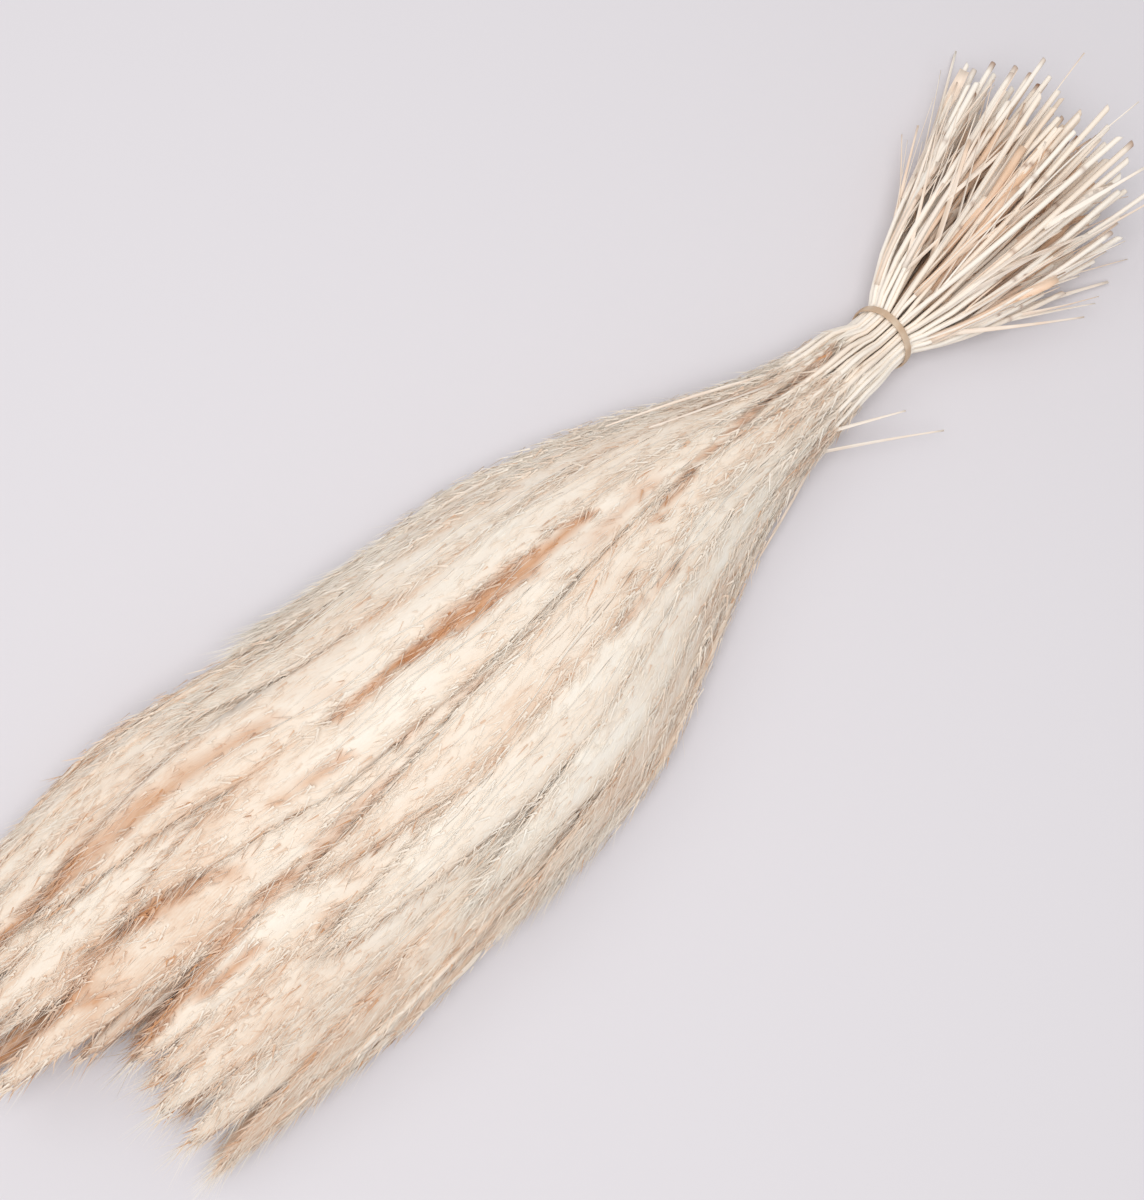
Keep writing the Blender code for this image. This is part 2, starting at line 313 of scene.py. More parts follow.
    def outward(self, points: np.ndarray) -> np.ndarray:
        """The unit vector across the bundle along which the disc's radius grows fastest.

        Args:
            points: x, y and z along the last axis.

        Returns:
            The difference of the radius over 1 mm along Y and along Z, made a unit.
        """
        step = np.eye(3) * 0.5 * MM
        grown = [
            np.hypot(*self.disc(points + step[i])) - np.hypot(*self.disc(points - step[i]))
            for i in (1, 2)
        ]
        return unit(np.stack([np.zeros_like(grown[0]), *grown], axis=-1))


FORM = BundleForm()


@dataclass(frozen=True)
class Parting:
    """A long gap in the top of the plume between two swathes, sunk, and tan there as painted shade.

    It runs between two x, in millimetres, and two places across the disc, and is half_width
    millimetres wide each way in its middle.
    """

    start: float
    end: float
    a_start: float
    a_end: float
    half_width: float
    strength: float = 1.0

    def amount(self, x: np.ndarray, a: np.ndarray) -> np.ndarray:
        """How far a place lies in the gap: 1 on its middle line, 0 past its ragged edge.

        The half width follows the square root of half a sine wave from end to end.

        Args:
            x: Along the bundle.
            a: Across the disc.

        Returns:
            The amount at each place.
        """
        share = np.clip((x / MM - self.start) / (self.end - self.start), 0.0, 1.0)
        middle = self.a_start + (self.a_end - self.a_start) * share
        ragged = 1 + 0.22 * np.sin(x / (5 * MM) + 9 * a) + 0.16 * np.sin(x / (2.3 * MM) - 31 * a)
        wide = self.half_width * MM * np.sqrt(np.sin(math.pi * share)) * ragged
        away = np.abs(a - middle) * FORM.half_width(x)
        return self.strength * smooth(1.5 * (1 - away / np.maximum(wide, 1e-6)))


PARTINGS = (
    Parting(-4, 34, -0.90, -1.00, 2.5, 0.6),
    Parting(18, 66, -0.46, -0.24, 2.2, 0.8),
    Parting(50, 98, -0.50, -0.68, 2.0, 0.5),
    Parting(62, 112, -0.29, -0.05, 2.6, 0.75),
    Parting(104, 160, -0.10, 0.18, 3.0, 0.7),
    Parting(124, 186, -0.18, -0.10, 5.0, 0.5),
    Parting(164, 282, -0.27, -0.34, 6.5, 1.0),
    Parting(140, 198, 0.50, 0.38, 2.2, 0.6),
    Parting(278, 314, -0.34, -0.33, 3.5, 0.85),
    Parting(298, 342, -0.45, -0.47, 3.2, 0.5),
    Parting(330, 520, -0.50, -0.52, 6.0, 0.75),
    Parting(308, 370, -0.13, -0.19, 2.2, 0.7),
    Parting(246, 306, 0.00, -0.05, 2.6, 0.6),
    Parting(292, 396, 0.02, 0.16, 4.5, 0.6),
    Parting(372, 486, 0.10, 0.22, 5.0, 0.8),
    Parting(398, 446, 0.26, 0.23, 3.5, 0.9),
    Parting(380, 408, -0.04, -0.03, 3.5, 1.0),
    Parting(398, 458, -0.10, -0.20, 5.0, 0.85),
    Parting(440, 482, -0.02, -0.05, 3.0, 0.9),
    Parting(454, 508, -0.11, -0.12, 3.0, 0.8),
    Parting(336, 384, 0.25, 0.39, 2.2, 0.6),
)


def parted(points: np.ndarray) -> np.ndarray:
    """How far points lie in a gap of the plume's top: the largest amount of all the partings.

    Args:
        points: x, y and z along the last axis.

    Returns:
        The amount, 0 to 1, faded out over the lower half of the disc.
    """
    a, b = FORM.disc(points)
    amounts = [parting.amount(points[..., 0], a) for parting in PARTINGS]
    return np.max(amounts, axis=0) * smooth(b / 0.35)


@dataclass
class Stem:
    """One stem by the same rule and draws as its solid: its path, its ends and its seed head."""

    tuft_angle: float
    tuft_place: tuple[float, float]
    member: int
    draws: np.ndarray
    shares_of_length: tuple[float, ...] = (0.60, 0.79, 1.0)
    angle: float = field(init=False)
    across: float = field(init=False)
    cut: float = field(init=False)
    tip: float = field(init=False)
    head: float = field(init=False)
    end: float = field(init=False)

    def __post_init__(self) -> None:
        """Work out where the stem is cut, where its head starts and where its tip is.

        The cut end is nearer the tie by the square of the place across, by a draw, and by more at
        the right rim. The bundle's end is nearer by the same square, and on the right side. The tip
        is at the member's share of that length, give or take a draw, and the head starts 225 to
        285 mm before it, but not closer to the tie than 62 to 82 mm.
        """
        draws = self.draws
        self.angle = self.tuft_angle + math.radians(120) * self.member
        a = self.tuft_place[0] + 0.09 * math.cos(self.angle)
        self.across = a
        short = 14 * a * a + 24 * draws[1] + 55 * float(smooth((a - 0.72) / 0.25))
        self.cut = short * MM - FORM.longest_cut_end
        right = 80 * float(smooth((a + 0.1) / 0.3)) * (1 - 0.75 * abs(a))
        self.end = FORM.longest_tip - (45 * a * a + right) * MM
        share = self.shares_of_length[self.member] + 0.10 * (draws[2] - 0.5)
        self.tip = min(self.end * share, self.end)
        self.head = max(self.tip - (225 + 60 * draws[3]) * MM, (62 + 20 * draws[3]) * MM)

    def centre(self, x: np.ndarray) -> np.ndarray:
        """The stem's middle at x: its tuft's place, an offset and a slow drift on the disc.

        Args:
            x: Along the bundle, of any shape.

        Returns:
            y and z along a new last axis.
        """
        share = smooth((np.abs(x) - FORM.trunk_half_length) / (120 * MM))
        offset = FORM.trunk_offset + (FORM.stem_offset - FORM.trunk_offset) * share
        angle = self.angle + 0.5 * (self.draws[4] - 0.5) * share
        ahead = (x > 0)[..., None]
        drift = FORM.drift * (np.where(ahead, self.draws[5:7], self.draws[7:9]) - 0.5)
        around = np.stack([np.cos(angle), np.sin(angle)], axis=-1)
        spot = np.array(self.tuft_place) + offset[..., None] * around + drift * share[..., None]
        return FORM.place(x, spot[..., 0], spot[..., 1])

    def path(self, x: np.ndarray) -> np.ndarray:
        """The stem's middle at x as points, x, y and z along a new last axis."""
        return np.concatenate([x[..., None], self.centre(x)], axis=-1)


def round_sections(
    radii: np.ndarray, sides: int, turn: np.ndarray | float = 0.0, flat: float = 1.0
) -> np.ndarray:
    """Circles or flattened circles for sweep(): radius times (cos, flat sin) of even angles.

    Args:
        radii: One radius for each station of each path, (n, k).
        sides: Corners of each circle.
        turn: Angle of the first corner of each path, (n,) or one number.
        flat: Height of the circle over its width.

    Returns:
        Sections (n, k, sides, 3): aside, up and along the path.
    """
    angles = np.arange(sides) * 2 * math.pi / sides + np.reshape(turn, (-1, 1, 1))
    angles = np.broadcast_to(angles, (*radii.shape, sides))
    rim = np.stack([np.cos(angles), flat * np.sin(angles), np.zeros_like(angles)], axis=-1)
    return radii[..., None, None] * rim


def strip_sections(
    width: np.ndarray, curl: np.ndarray, hub: np.ndarray, wall: float, columns: int = 5
) -> np.ndarray:
    """Curled strips for sweep(): an arc as long as the width, with a wall, of a few columns.

    A column at angle t lies at r (sin t, 1 - cos t - hub), where r is width / curl, moved half the
    wall along (sin t, -cos t) for the outer face and back for the inner one.

    Args:
        width: Arc length of the strip at each station, (n, k).
        curl: Angle of the arc, (n, k).
        hub: 0 puts the path on the strip's middle, 1 at the centre of its arc, (n, k).
        wall: Thickness of the strip.
        columns: Points across it.

    Returns:
        Sections (n, k, 2 columns, 3), outer face first and inner face back again.
    """
    share = np.linspace(-0.5, 0.5, columns)
    angle = curl[..., None] * share
    radius = (width / curl)[..., None]
    middle = np.stack([radius * np.sin(angle), radius * (1 - np.cos(angle) - hub[..., None])], -1)
    outward = np.stack([np.sin(angle), -np.cos(angle)], axis=-1) * wall / 2
    loop = np.concatenate([middle + outward, (middle - outward)[..., ::-1, :]], axis=-2)
    return np.concatenate([loop, np.zeros((*loop.shape[:-1], 1))], axis=-1)


def sweep(
    paths: np.ndarray, sections: np.ndarray, cap: Cap, facing: np.ndarray | None = None
) -> tuple[np.ndarray, np.ndarray]:
    """Closed solids made by carrying sections along paths, all at once.

    At each station the tangent t is the central difference of the path, the aside vector is t x
    facing made a unit, and the up vector is aside x t. A section's corner goes to
    path + aside s0 + up s1 + t s2.

    Args:
        paths: Stations (n, k, 3). With Cap.POLE the first and last are single points.
        sections: Corners (n, k, s, 3) at each station.
        cap: How the ends are closed.
        facing: Which way up points, (n, k, 3). If None, along Z, or along Y on a steep path.

    Returns:
        Points (p, 3) and triangles (q, 3) of all solids, facing outwards.
    """
    n, k, sides = sections.shape[:3]
    tangent = unit(np.gradient(paths, axis=1))
    if facing is None:
        steep = np.abs(tangent[..., 2:]) > 0.9
        facing = np.where(steep, (0.0, 1.0, 0.0), (0.0, 0.0, 1.0))
    aside = unit(np.cross(tangent, facing))
    axes = np.stack([aside, np.cross(aside, tangent), tangent], axis=-2)
    points = paths[:, :, None, :] + sections @ axes
    side = np.arange(sides)
    after = (side + 1) % sides
    if cap is Cap.POLE:
        rings = k - 2
        points = np.concatenate(
            [paths[:, :1], points[:, 1:-1].reshape(n, -1, 3), paths[:, -1:]], axis=1
        )
        low, last = 1, 1 + (rings - 1) * sides
        ends = [
            np.stack([np.zeros_like(side), low + side, low + after], axis=-1),
            np.stack([np.full_like(side, last + sides), last + after, last + side], axis=-1),
        ]
    else:
        rings = k
        points = points.reshape(n, -1, 3)
        low, last = 0, (rings - 1) * sides
        j = np.arange(sides // 2 - 1)
        far = sides - 1 - j
        first = [np.stack([j, j + 1, far], -1), np.stack([j + 1, far - 1, far], -1)]
        ends = [*first, *(last + face[:, ::-1] for face in first)]
    near = low + np.arange(rings - 1)[:, None] * sides
    a, b = (near + side).ravel(), (near + after).ravel()
    wall = [np.stack([a, a + sides, b], -1), np.stack([b, a + sides, b + sides], -1)]
    faces = np.concatenate([*ends, *wall])
    start = np.arange(n)[:, None, None] * points.shape[1]
    return points.reshape(-1, 3), (faces + start).reshape(-1, 3)


@dataclass
class MeshStack:
    """The points, triangles and values of one piece, laid down in batches of closed solids."""

    points: list[np.ndarray] = field(default_factory=list)
    faces: list[np.ndarray] = field(default_factory=list)
    surfaces: list[np.ndarray] = field(default_factory=list)
    grain: list[np.ndarray] = field(default_factory=list)
    tone: list[np.ndarray] = field(default_factory=list)
    mark: list[np.ndarray] = field(default_factory=list)
    rounded: list[np.ndarray] = field(default_factory=list)
    owner: list[np.ndarray] = field(default_factory=list)
    count: int = 0
    parting_depth: float = 3.5 * MM
    least_height: float = 0.25 * MM
    ridge_place: float = 0.4

    def add(
        self,
        paths: np.ndarray,
        sections: np.ndarray,
        surface: Surface,
        tone: np.ndarray,
        mark: np.ndarray | float = 0.0,
        cap: Cap = Cap.POLE,
        facing: np.ndarray | None = None,
    ) -> None:
        """Sweep solids and keep their points with what their finish reads.

        The grain is each point's place on the straightened solid: its section's corner, and the
        length of path up to its station. It is continuous round the solid, so it has no seam.

        Args:
            paths: Stations (n, k, 3).
            sections: Corners (n, k, s, 3).
            surface: The finish of the batch.
            tone: 0 bleached to 1 tan, (n,), (n, k) or (n, k, s).
            mark: 0 to 1, (n, k) or one number: how brown a straw is, or how much of the painted
                shade of the bundle's inside a husk takes on.
            cap: How the ends are closed.
            facing: Which way the sections' up points, as in sweep().
        """
        points, faces = sweep(paths, sections, cap, facing)
        n, k, sides = sections.shape[:3]
        steps = np.linalg.norm(np.diff(paths, axis=1), axis=-1)
        along = np.concatenate([np.zeros((n, 1)), np.cumsum(steps, axis=1)], axis=1)
        along = along + 1.7 * np.arange(self.count, self.count + n)[:, None]
        grain = np.concatenate(
            [sections[..., :2], np.broadcast_to(along[..., None, None], (n, k, sides, 1))], axis=-1
        )
        tone = np.reshape(tone, np.shape(tone) + (1,) * (4 - np.ndim(tone)))
        mark = np.reshape(mark, np.shape(mark) + (1,) * (4 - np.ndim(mark)))
        values = [grain, *(np.broadcast_to(v, (n, k, sides, 1)) for v in (tone, mark))]
        if cap is Cap.POLE:
            values = [
                np.concatenate([v[:, 0, :1], v[:, 1:-1].reshape(n, -1, v.shape[-1]), v[:, -1, :1]], 1)
                for v in values
            ]
        grain, tone, mark = (v.reshape(-1, v.shape[-1]) for v in values)
        self.keep(n, points, faces, surface, True, (grain, tone[:, 0], mark[:, 0]))

    def add_slivers(
        self,
        roots: np.ndarray,
        runs: np.ndarray,
        off: np.ndarray,
        half_width: np.ndarray,
        height_share: float,
        tone: np.ndarray,
        mark: np.ndarray | float,
    ) -> None:
        """Lay down husks of four faces each, the fewest that close a solid, shaded flat.

        Its corners are the root less and plus the half width aside, a ridge point at ridge_place
        of the run, raised by height_share of the half width, and the tip. Aside is run x off.

        Args:
            roots: Where they start, (n, 3).
            runs: Vectors from the roots to the tips, (n, 3).
            off: Unit vectors that point out of what they lie on, (n, 3).
            half_width: Half of the width at the root, (n,).
            height_share: The ridge's height over the half width.
            tone: 0 bleached to 1 tan, (n,).
            mark: How much of the painted shade of the bundle's inside each takes on, (n,) or one number.
        """
        n = len(roots)
        wide = half_width[:, None]
        side = unit(np.cross(runs, off)) * wide
        ridge = roots + self.ridge_place * runs + off * wide * height_share
        points = np.stack([roots - side, roots + side, ridge, roots + runs], axis=1)
        faces = np.array([(0, 2, 3), (1, 3, 2), (0, 3, 1), (0, 1, 2)])
        length = np.linalg.norm(runs, axis=1)
        zero = np.zeros(n)
        along = 1.7 * (self.count + np.arange(n))
        grain = np.stack(
            [
                np.stack([-half_width, zero, along], -1),
                np.stack([half_width, zero, along], -1),
                np.stack([zero, half_width * height_share, along + self.ridge_place * length], -1),
                np.stack([zero, zero, along + length], -1),
            ],
            axis=1,
        )
        faces = (faces[None] + 4 * np.arange(n)[:, None, None]).reshape(-1, 3)
        values = (grain.reshape(-1, 3), np.repeat(tone, 4), np.repeat(np.broadcast_to(mark, n), 4))
        self.keep(n, points.reshape(-1, 3), faces, Surface.HUSK, False, values)

    def keep(
        self,
        solids: int,
        points: np.ndarray,
        faces: np.ndarray,
        surface: Surface,
        rounded: bool,
        values: tuple[np.ndarray, np.ndarray, np.ndarray],
    ) -> None:
        """Keep a batch of solids, each with as many faces as the others.

        Args:
            solids: How many there are.
            points: Their points, (p, 3).
            faces: Triangles (q, 3) over the batch's own points, solid by solid.
            surface: Their finish.
            rounded: Whether they are shaded smooth.
            values: The points' grain (p, 3), tone (p,) and mark (p,).
        """
        start = sum(len(p) for p in self.points)
        grain, tone, mark = values
        for kept, batch in (
            (self.points, points),
            (self.faces, faces + start),
            (self.surfaces, np.full(len(faces), int(surface))),
            (self.rounded, np.full(len(faces), rounded)),
            (self.owner, self.count + np.repeat(np.arange(solids), len(faces) // solids)),
            (self.grain, grain),
            (self.tone, tone),
            (self.mark, mark),
        ):
            kept.append(batch)
        self.count += solids

    def turned_out(self, points: np.ndarray, faces: np.ndarray) -> np.ndarray:
        """The faces, with those of each solid that lies inside out turned round.

        The edge of a parting or the surface can press a thin husk through itself. A solid's volume
        is the sum of (p - o) . (q - o) x (r - o) over its faces p q r, with o a corner of its first.

        Args:
            points: Where the points have been moved to, (p, 3).
            faces: Triangles (q, 3), solid by solid.

        Returns:
            Triangles (q, 3), facing outwards.
        """
        owner = np.concatenate(self.owner)
        origin = points[faces[np.searchsorted(owner, np.arange(self.count)), 0]][owner]
        p, q, r = (points[faces[:, i]] - origin for i in range(3))
        volume = np.bincount(owner, np.sum(p * np.cross(q, r), axis=1))
        return np.where((volume < 0)[owner][:, None], faces[:, ::-1], faces)

    def finish(self, name: str, materials: list[bpy.types.Material]) -> bpy.types.Object:
        """The batches as one object, moved along X so that the origin is under the tie.

        A point's painted shade is 1 in the middle half of the disc and falls to 0 at 0.85 of its
        radius, is less towards the tips, and is at least its amount in a parting, which also lowers
        it. The husks turn tan by it, as painted shade of the bundle's inside and its partings.

        Args:
            name: The object's name.
            materials: Its finishes, in the order of Surface.

        Returns:
            The object, linked to the scene.
        """
        points = np.concatenate(self.points)
        faces = np.concatenate(self.faces)
        # Painted shade: how tan the husks turn inside the bundle and in the partings.
        painted_shade_depth = 1 - smooth((np.hypot(*FORM.disc(points)) - 0.5) / 0.35)
        painted_shade_depth *= 1 - 0.8 * FORM.rise(points[:, 0], 300, 460)
        gap = parted(points)
        painted_shade_depth = np.maximum(painted_shade_depth, gap)
        points[:, 2] -= self.parting_depth * gap
        points = points - (FORM.tie_foot_x, 0.0, 0.0)
        points[:, 2] = np.maximum(points[:, 2], self.least_height)
        faces = self.turned_out(points, faces)
        mesh = bpy.data.meshes.new(name)
        mesh.vertices.add(len(points))
        mesh.vertices.foreach_set("co", points.astype(np.float32).ravel())
        mesh.loops.add(faces.size)
        mesh.loops.foreach_set("vertex_index", faces.astype(np.int32).ravel())
        mesh.polygons.add(len(faces))
        mesh.polygons.foreach_set("loop_start", np.arange(0, faces.size, 3, dtype=np.int32))
        mesh.polygons.foreach_set("material_index", np.concatenate(self.surfaces).astype(np.int32))
        mesh.polygons.foreach_set("use_smooth", np.concatenate(self.rounded))
        mesh.update(calc_edges=True)
        for label, kind, values in (
            ("grain", "FLOAT_VECTOR", np.concatenate(self.grain)),
            ("tone", "FLOAT", np.concatenate(self.tone)),
            ("mark", "FLOAT", np.concatenate(self.mark)),
            ("painted_shade_depth", "FLOAT", painted_shade_depth),
        ):
            key = "vector" if kind == "FLOAT_VECTOR" else "value"
            data = mesh.attributes.new(label, kind, "POINT").data
            data.foreach_set(key, values.astype(np.float32).ravel())
        for material in materials:
            mesh.materials.append(material)
        return put(name, mesh)


@dataclass
class Tuft:
    """Three stems that part from one place inside the tie, and stand for one solid.

    It has draws of its own for what is finer than its solid, and the stack its pieces go to.
    """

    name: str
    ring: int
    place: tuple[float, float]
    stems: list[Stem]
    rng: np.random.Generator
    stack: MeshStack


def all_tufts() -> list[Tuft]:
    """Every tuft, ring by ring, with the draws in the order in which the solids took them.

    Returns:
        The tufts, each with an empty stack.
    """
    rng = np.random.default_rng(SEED)
    tufts = []
    for ring, (name, count) in enumerate(FORM.rings):
        for i in range(count):
            around = math.radians(-90) + 2 * math.pi * (i + 0.5) / count
            radius = ring * FORM.tuft_pitch / FORM.envelope
            at = (radius * math.cos(around), radius * math.sin(around))
            label = f"grass_tuft_{name}_{i + 1:02d}" if count > 1 else f"grass_tuft_{name}"
            stems = [
                Stem(around, at, member, rng.random(DRAWS_PER_STEM)) for member in range(STEMS_IN_TUFT)
            ]
            own = np.random.default_rng((SEED, len(tufts)))
            tufts.append(Tuft(label, ring, at, stems, own, MeshStack()))
    return tufts


@dataclass(frozen=True)
class Culms:
    """The hollow straws, from their cut ends through the tie to their seed heads."""

    radius: float = 1.3 * MM
    squeezed_radius: float = 1.06 * MM
    head_radius: float = 0.8 * MM
    taper_start: float = 20 * MM
    least_girth: float = 0.86
    more_girth: float = 0.3
    fan_growth: float = 45 * MM
    neck_growth: float = 40 * MM
    wall_share: float = 0.42
    sides: int = 8
    hollow: float = 4 * MM
    end_slant: float = 1.8
    slant_length: float = 3 * MM
    wander: float = 11 * MM
    wander_start: float = 14 * MM
    wander_length: float = 130 * MM
    node_swell: float = 0.22
    node_length: float = 1.1 * MM
    node_brown: float = 0.75
    rim_brown: float = 0.55
    dark_end_chance: float = 0.22
    # Inner rings start more tan, as painted shade of the bundle's inside.
    painted_shade_of_ring: tuple[float, ...] = (0.5, 0.45, 0.25, 0.0)

    def radius_at(self, x: np.ndarray, stem: Stem) -> np.ndarray:
        """The straw's radius: squeezed in the tie, fullest in the fan, thin at the seed head.

        Args:
            x: Along the bundle.
            stem: The straw's stem.

        Returns:
            The radius at each x.
        """
        girth = self.least_girth + self.more_girth * stem.draws[13]
        gain = self.radius * girth - self.squeezed_radius
        fan = self.squeezed_radius + gain * smooth(-x / self.fan_growth)
        ahead = self.squeezed_radius + gain * smooth(x / self.neck_growth)
        taper = smooth((x - self.taper_start) / (stem.head - self.taper_start))
        ahead = ahead + (self.head_radius - ahead) * taper
        return np.where(x < 0, fan, ahead)

    def path(self, stem: Stem, x: np.ndarray) -> np.ndarray:
        """The straw's middle, which strays from the rule evenly from the tie to its cut end.

        Its stray, over the 130 mm to the longest cut ends, is wander times two draws, and a bow
        of up to a fifth of wander is added, so that straws cross each other in the fan.

        Args:
            stem: The straw's stem.
            x: Along the bundle.

        Returns:
            Points at each x.
        """
        points = stem.path(x)
        away = np.maximum(-x - self.wander_start, 0) / self.wander_length
        bow = 0.4 * np.sin(math.pi * np.minimum(away * 1.3, 1.0))
        sideways, upward = 2 * stem.draws[14] - 1, 2 * stem.draws[15] - 0.9
        points[..., 1] += self.wander * (sideways * away + upward * bow * 0.5)
        points[..., 2] += 0.6 * self.wander * (upward * away + sideways * bow * 0.5)
        points[..., 2] = np.maximum(points[..., 2], self.radius)
        return points

    def build(self, tuft: Tuft) -> None:
        """Add the tuft's straws, each with a slanted hollow end and one swollen brown node.

        Stations are closest at the cut end, at the node and in the tie, where the form bends most.

        Args:
            tuft: Their tuft.
        """
        for stem in tuft.stems:
            rng, cut, draws = tuft.rng, stem.cut, stem.draws
            joint = cut + (0.16 + 0.5 * rng.random()) * (-12 * MM - cut)
            outer = np.concatenate(
                [
                    cut + np.array([0, 0.7, 5, 12]) * MM,
                    np.linspace(cut + 20 * MM, -12 * MM, 7),
                    joint + np.array([-2.2, -0.8, 0, 0.8, 2.2]) * MM,
                    np.array([-7, -3, 3, 8]) * MM,
                    np.linspace(14 * MM, stem.head + 6 * MM, 12),
                ]
            )
            outer = np.sort(outer)
            radii = self.radius_at(outer, stem)
            swell = np.exp(-(((outer - joint) / self.node_length) ** 2))
            radii = radii * (1 + self.node_swell * swell)
            radii[0] *= 0.96
            # From the floor of the hollow out to the rim, then along the outside.
            rim = radii[0]
            x = np.concatenate([[cut + self.hollow] * 2, [cut], outer, [outer[-1] + 2 * MM]])
            radii = np.concatenate([[0, rim * 0.5, rim * (1 - self.wall_share)], radii, [0]])
            paths = self.path(stem, x)[None]
            slant = self.end_slant * (draws[12] - 0.5) * np.exp(-np.abs(x - cut) / self.slant_length)
            sections = round_sections(radii[None], self.sides)
            sections[..., 2] = slant[None, :, None] * sections[..., 0]
            # The frame of a straight run is taken from neighbours, so it is made to point along X.
            paths = self.untwisted(paths)
            brown = self.node_brown * np.concatenate([[0] * 3, swell, [0]]) * (0.3 + 0.7 * rng.random())
            brown[:3] = self.rim_brown
            if rng.random() < self.dark_end_chance:
                brown[3:5] = 0.8 * rng.random() + 0.15
            # Painted shade: straws of the inner rings are more tan.
            tone = np.full((1, len(x)), self.painted_shade_of_ring[tuft.ring] + 0.5 * rng.random() ** 1.8)
            tuft.stack.add(paths, sections, Surface.STRAW, tone, brown[None])

    def untwisted(self, paths: np.ndarray) -> np.ndarray:
        """Part the stations that share an x by a hair, so that each has a tangent along X.

        Args:
            paths: Stations (n, k, 3), the first three of them inside the hollow.

        Returns:
            The stations, with the pole and the rim moved by a hundredth of a millimetre.
        """
        paths[:, 0, 0] += 0.01 * MM
        paths[:, 2, 0] -= 0.01 * MM
        return paths


@dataclass(frozen=True)
class DryLeaves:
    """Papery leaf sheaths round some straws, and leaf strips that stand off them.

    A span in millimetres is the least length and the most that a draw adds.
    """

    wall: float = 0.22 * MM
    strip_wall: float = 0.3 * MM
    sheath_gap: float = 0.35 * MM
    sheath_length: tuple[float, float] = (35, 50)
    sheath_start: tuple[float, float] = (2, 42)
    sheath_end: float = -14 * MM
    sheath_lift: tuple[float, float] = (1.5, 5)
    sheath_stations: int = 12
    clasp: float = math.radians(300)
    unrolled: float = math.radians(215)
    sheath_chance: tuple[float, ...] = (1.0, 0.95, 0.85, 0.4)
    sheath_tone: tuple[float, ...] = (0.75, 0.7, 0.5, 0.15)
    torn_blades: int = 9
    torn_root: tuple[float, float] = (-18, -62)
    torn_length: tuple[float, float] = (22, 45)
    torn_stray: float = 0.22
    torn_least_width: float = 0.8
    torn_more_width: tuple[float, ...] = (4.6, 4.6, 4.6, 2.6)
    fan_leaf_length: float = 60 * MM
    plume_leaf_length: float = 90 * MM
    plume_leaf_root: float = 55 * MM
    leaf_width: float = 3.4 * MM
    plume_leaf_share: float = 0.6
    stray_width: float = 2.2 * MM
    strip_stations: int = 10
    strays: Mapping[str, tuple[float, tuple[float, float, float]]] = field(
        default_factory=lambda: {
            "grass_tuft_outer_05": (62, (9, 53.5, 16)),
            "grass_tuft_outer_06": (52, (19, 34.5, 26)),
        }
    )

    def build(self, tuft: Tuft, culms: Culms) -> None:
        """Add the tuft's sheaths and strips.

        Args:
            tuft: Their tuft.
            culms: The straws they grow on.
        """
        for stem in tuft.stems:
            if tuft.rng.random() < self.sheath_chance[tuft.ring]:
                self.sheath(tuft, stem, culms)
        for stem in tuft.stems * (self.torn_blades // STEMS_IN_TUFT):
            self.torn_blade(tuft, stem, culms)
        for root, tip, width in self.leaves_of(tuft):
            self.strip(tuft, root, tip, width)

    def sheath(self, tuft: Tuft, stem: Stem, culms: Culms) -> None:
        """A sheath that clasps the straw, then opens and stands off it in a short torn blade.

        Its arc opens from 300 to 85 degrees and its path moves off the straw as a square.

        Args:
            tuft: Its tuft.
            stem: The stem it clasps.
            culms: The straws.
        """
        rng = tuft.rng
        length = drawn(rng, self.sheath_length)
        far = stem.cut + drawn(rng, self.sheath_start)
        near = min(far + length, self.sheath_end)
        share = np.linspace(0, 1, self.sheath_stations)
        x = near + (far - near) * share
        points = culms.path(stem, x)
        free = smooth((share - 0.55) / 0.45)
        out = math.radians(360) * rng.random()
        lift = drawn(rng, self.sheath_lift) * free**2
        points[:, 1] += lift * math.cos(out)
        points[:, 2] += lift * math.sin(out)
        curl = self.clasp - self.unrolled * free
        clasp = (culms.radius_at(x, stem) + self.sheath_gap) * (1 + 0.5 * rng.random() * free)
        width = clasp * self.clasp * (1 - 0.55 * free**3)
        width *= 1 - 0.1 * np.sin(17 * share + 6 * rng.random()) * free
        sections = strip_sections(width[None], curl[None], (1 - free)[None], self.wall)
        sections = self.turned(sections, rng.random() * 2 * math.pi)
        tone = np.clip(self.sheath_tone[tuft.ring] + 0.4 * rng.random() + 0.15 * share, 0, 1)
        tuft.stack.add(points[None], sections, Surface.LEAF, tone[None], cap=Cap.STRIP)

    def torn_blade(self, tuft: Tuft, stem: Stem, culms: Culms) -> None:
        """A narrow piece of torn blade that lies across the straws of the fan.

        Args:
            tuft: Its tuft.
            stem: The stem it grows on.
            culms: The straws.
        """
        rng = tuft.rng
        x = drawn(rng, self.torn_root)
        root = culms.path(stem, np.array(x))
        end = max(x - drawn(rng, self.torn_length), stem.cut - 8 * MM)
        tip = culms.path(stem, np.array(end))
        tip[1:] += self.torn_stray * (end - x) * rng.normal(size=2) * (1.0, 0.5)
        tip[2] = max(tip[2], 1.2 * MM)
        width = self.torn_least_width + self.torn_more_width[tuft.ring] * rng.random() ** 1.5
        self.strip(tuft, root, tip, width * MM)

    def turned(self, sections: np.ndarray, angle: np.ndarray | float) -> np.ndarray:
        """The sections turned about their path.

        Args:
            sections: Corners (1, k, s, 3).
            angle: One angle, or one for each station.

        Returns:
            The sections.
        """
        cos, sin = np.cos(angle), np.sin(angle)
        if np.ndim(angle):
            cos, sin = cos[None, :, None], sin[None, :, None]
        s, u, t = np.moveaxis(sections, -1, 0)
        return np.stack([cos * s - sin * u, sin * s + cos * u, t], axis=-1)

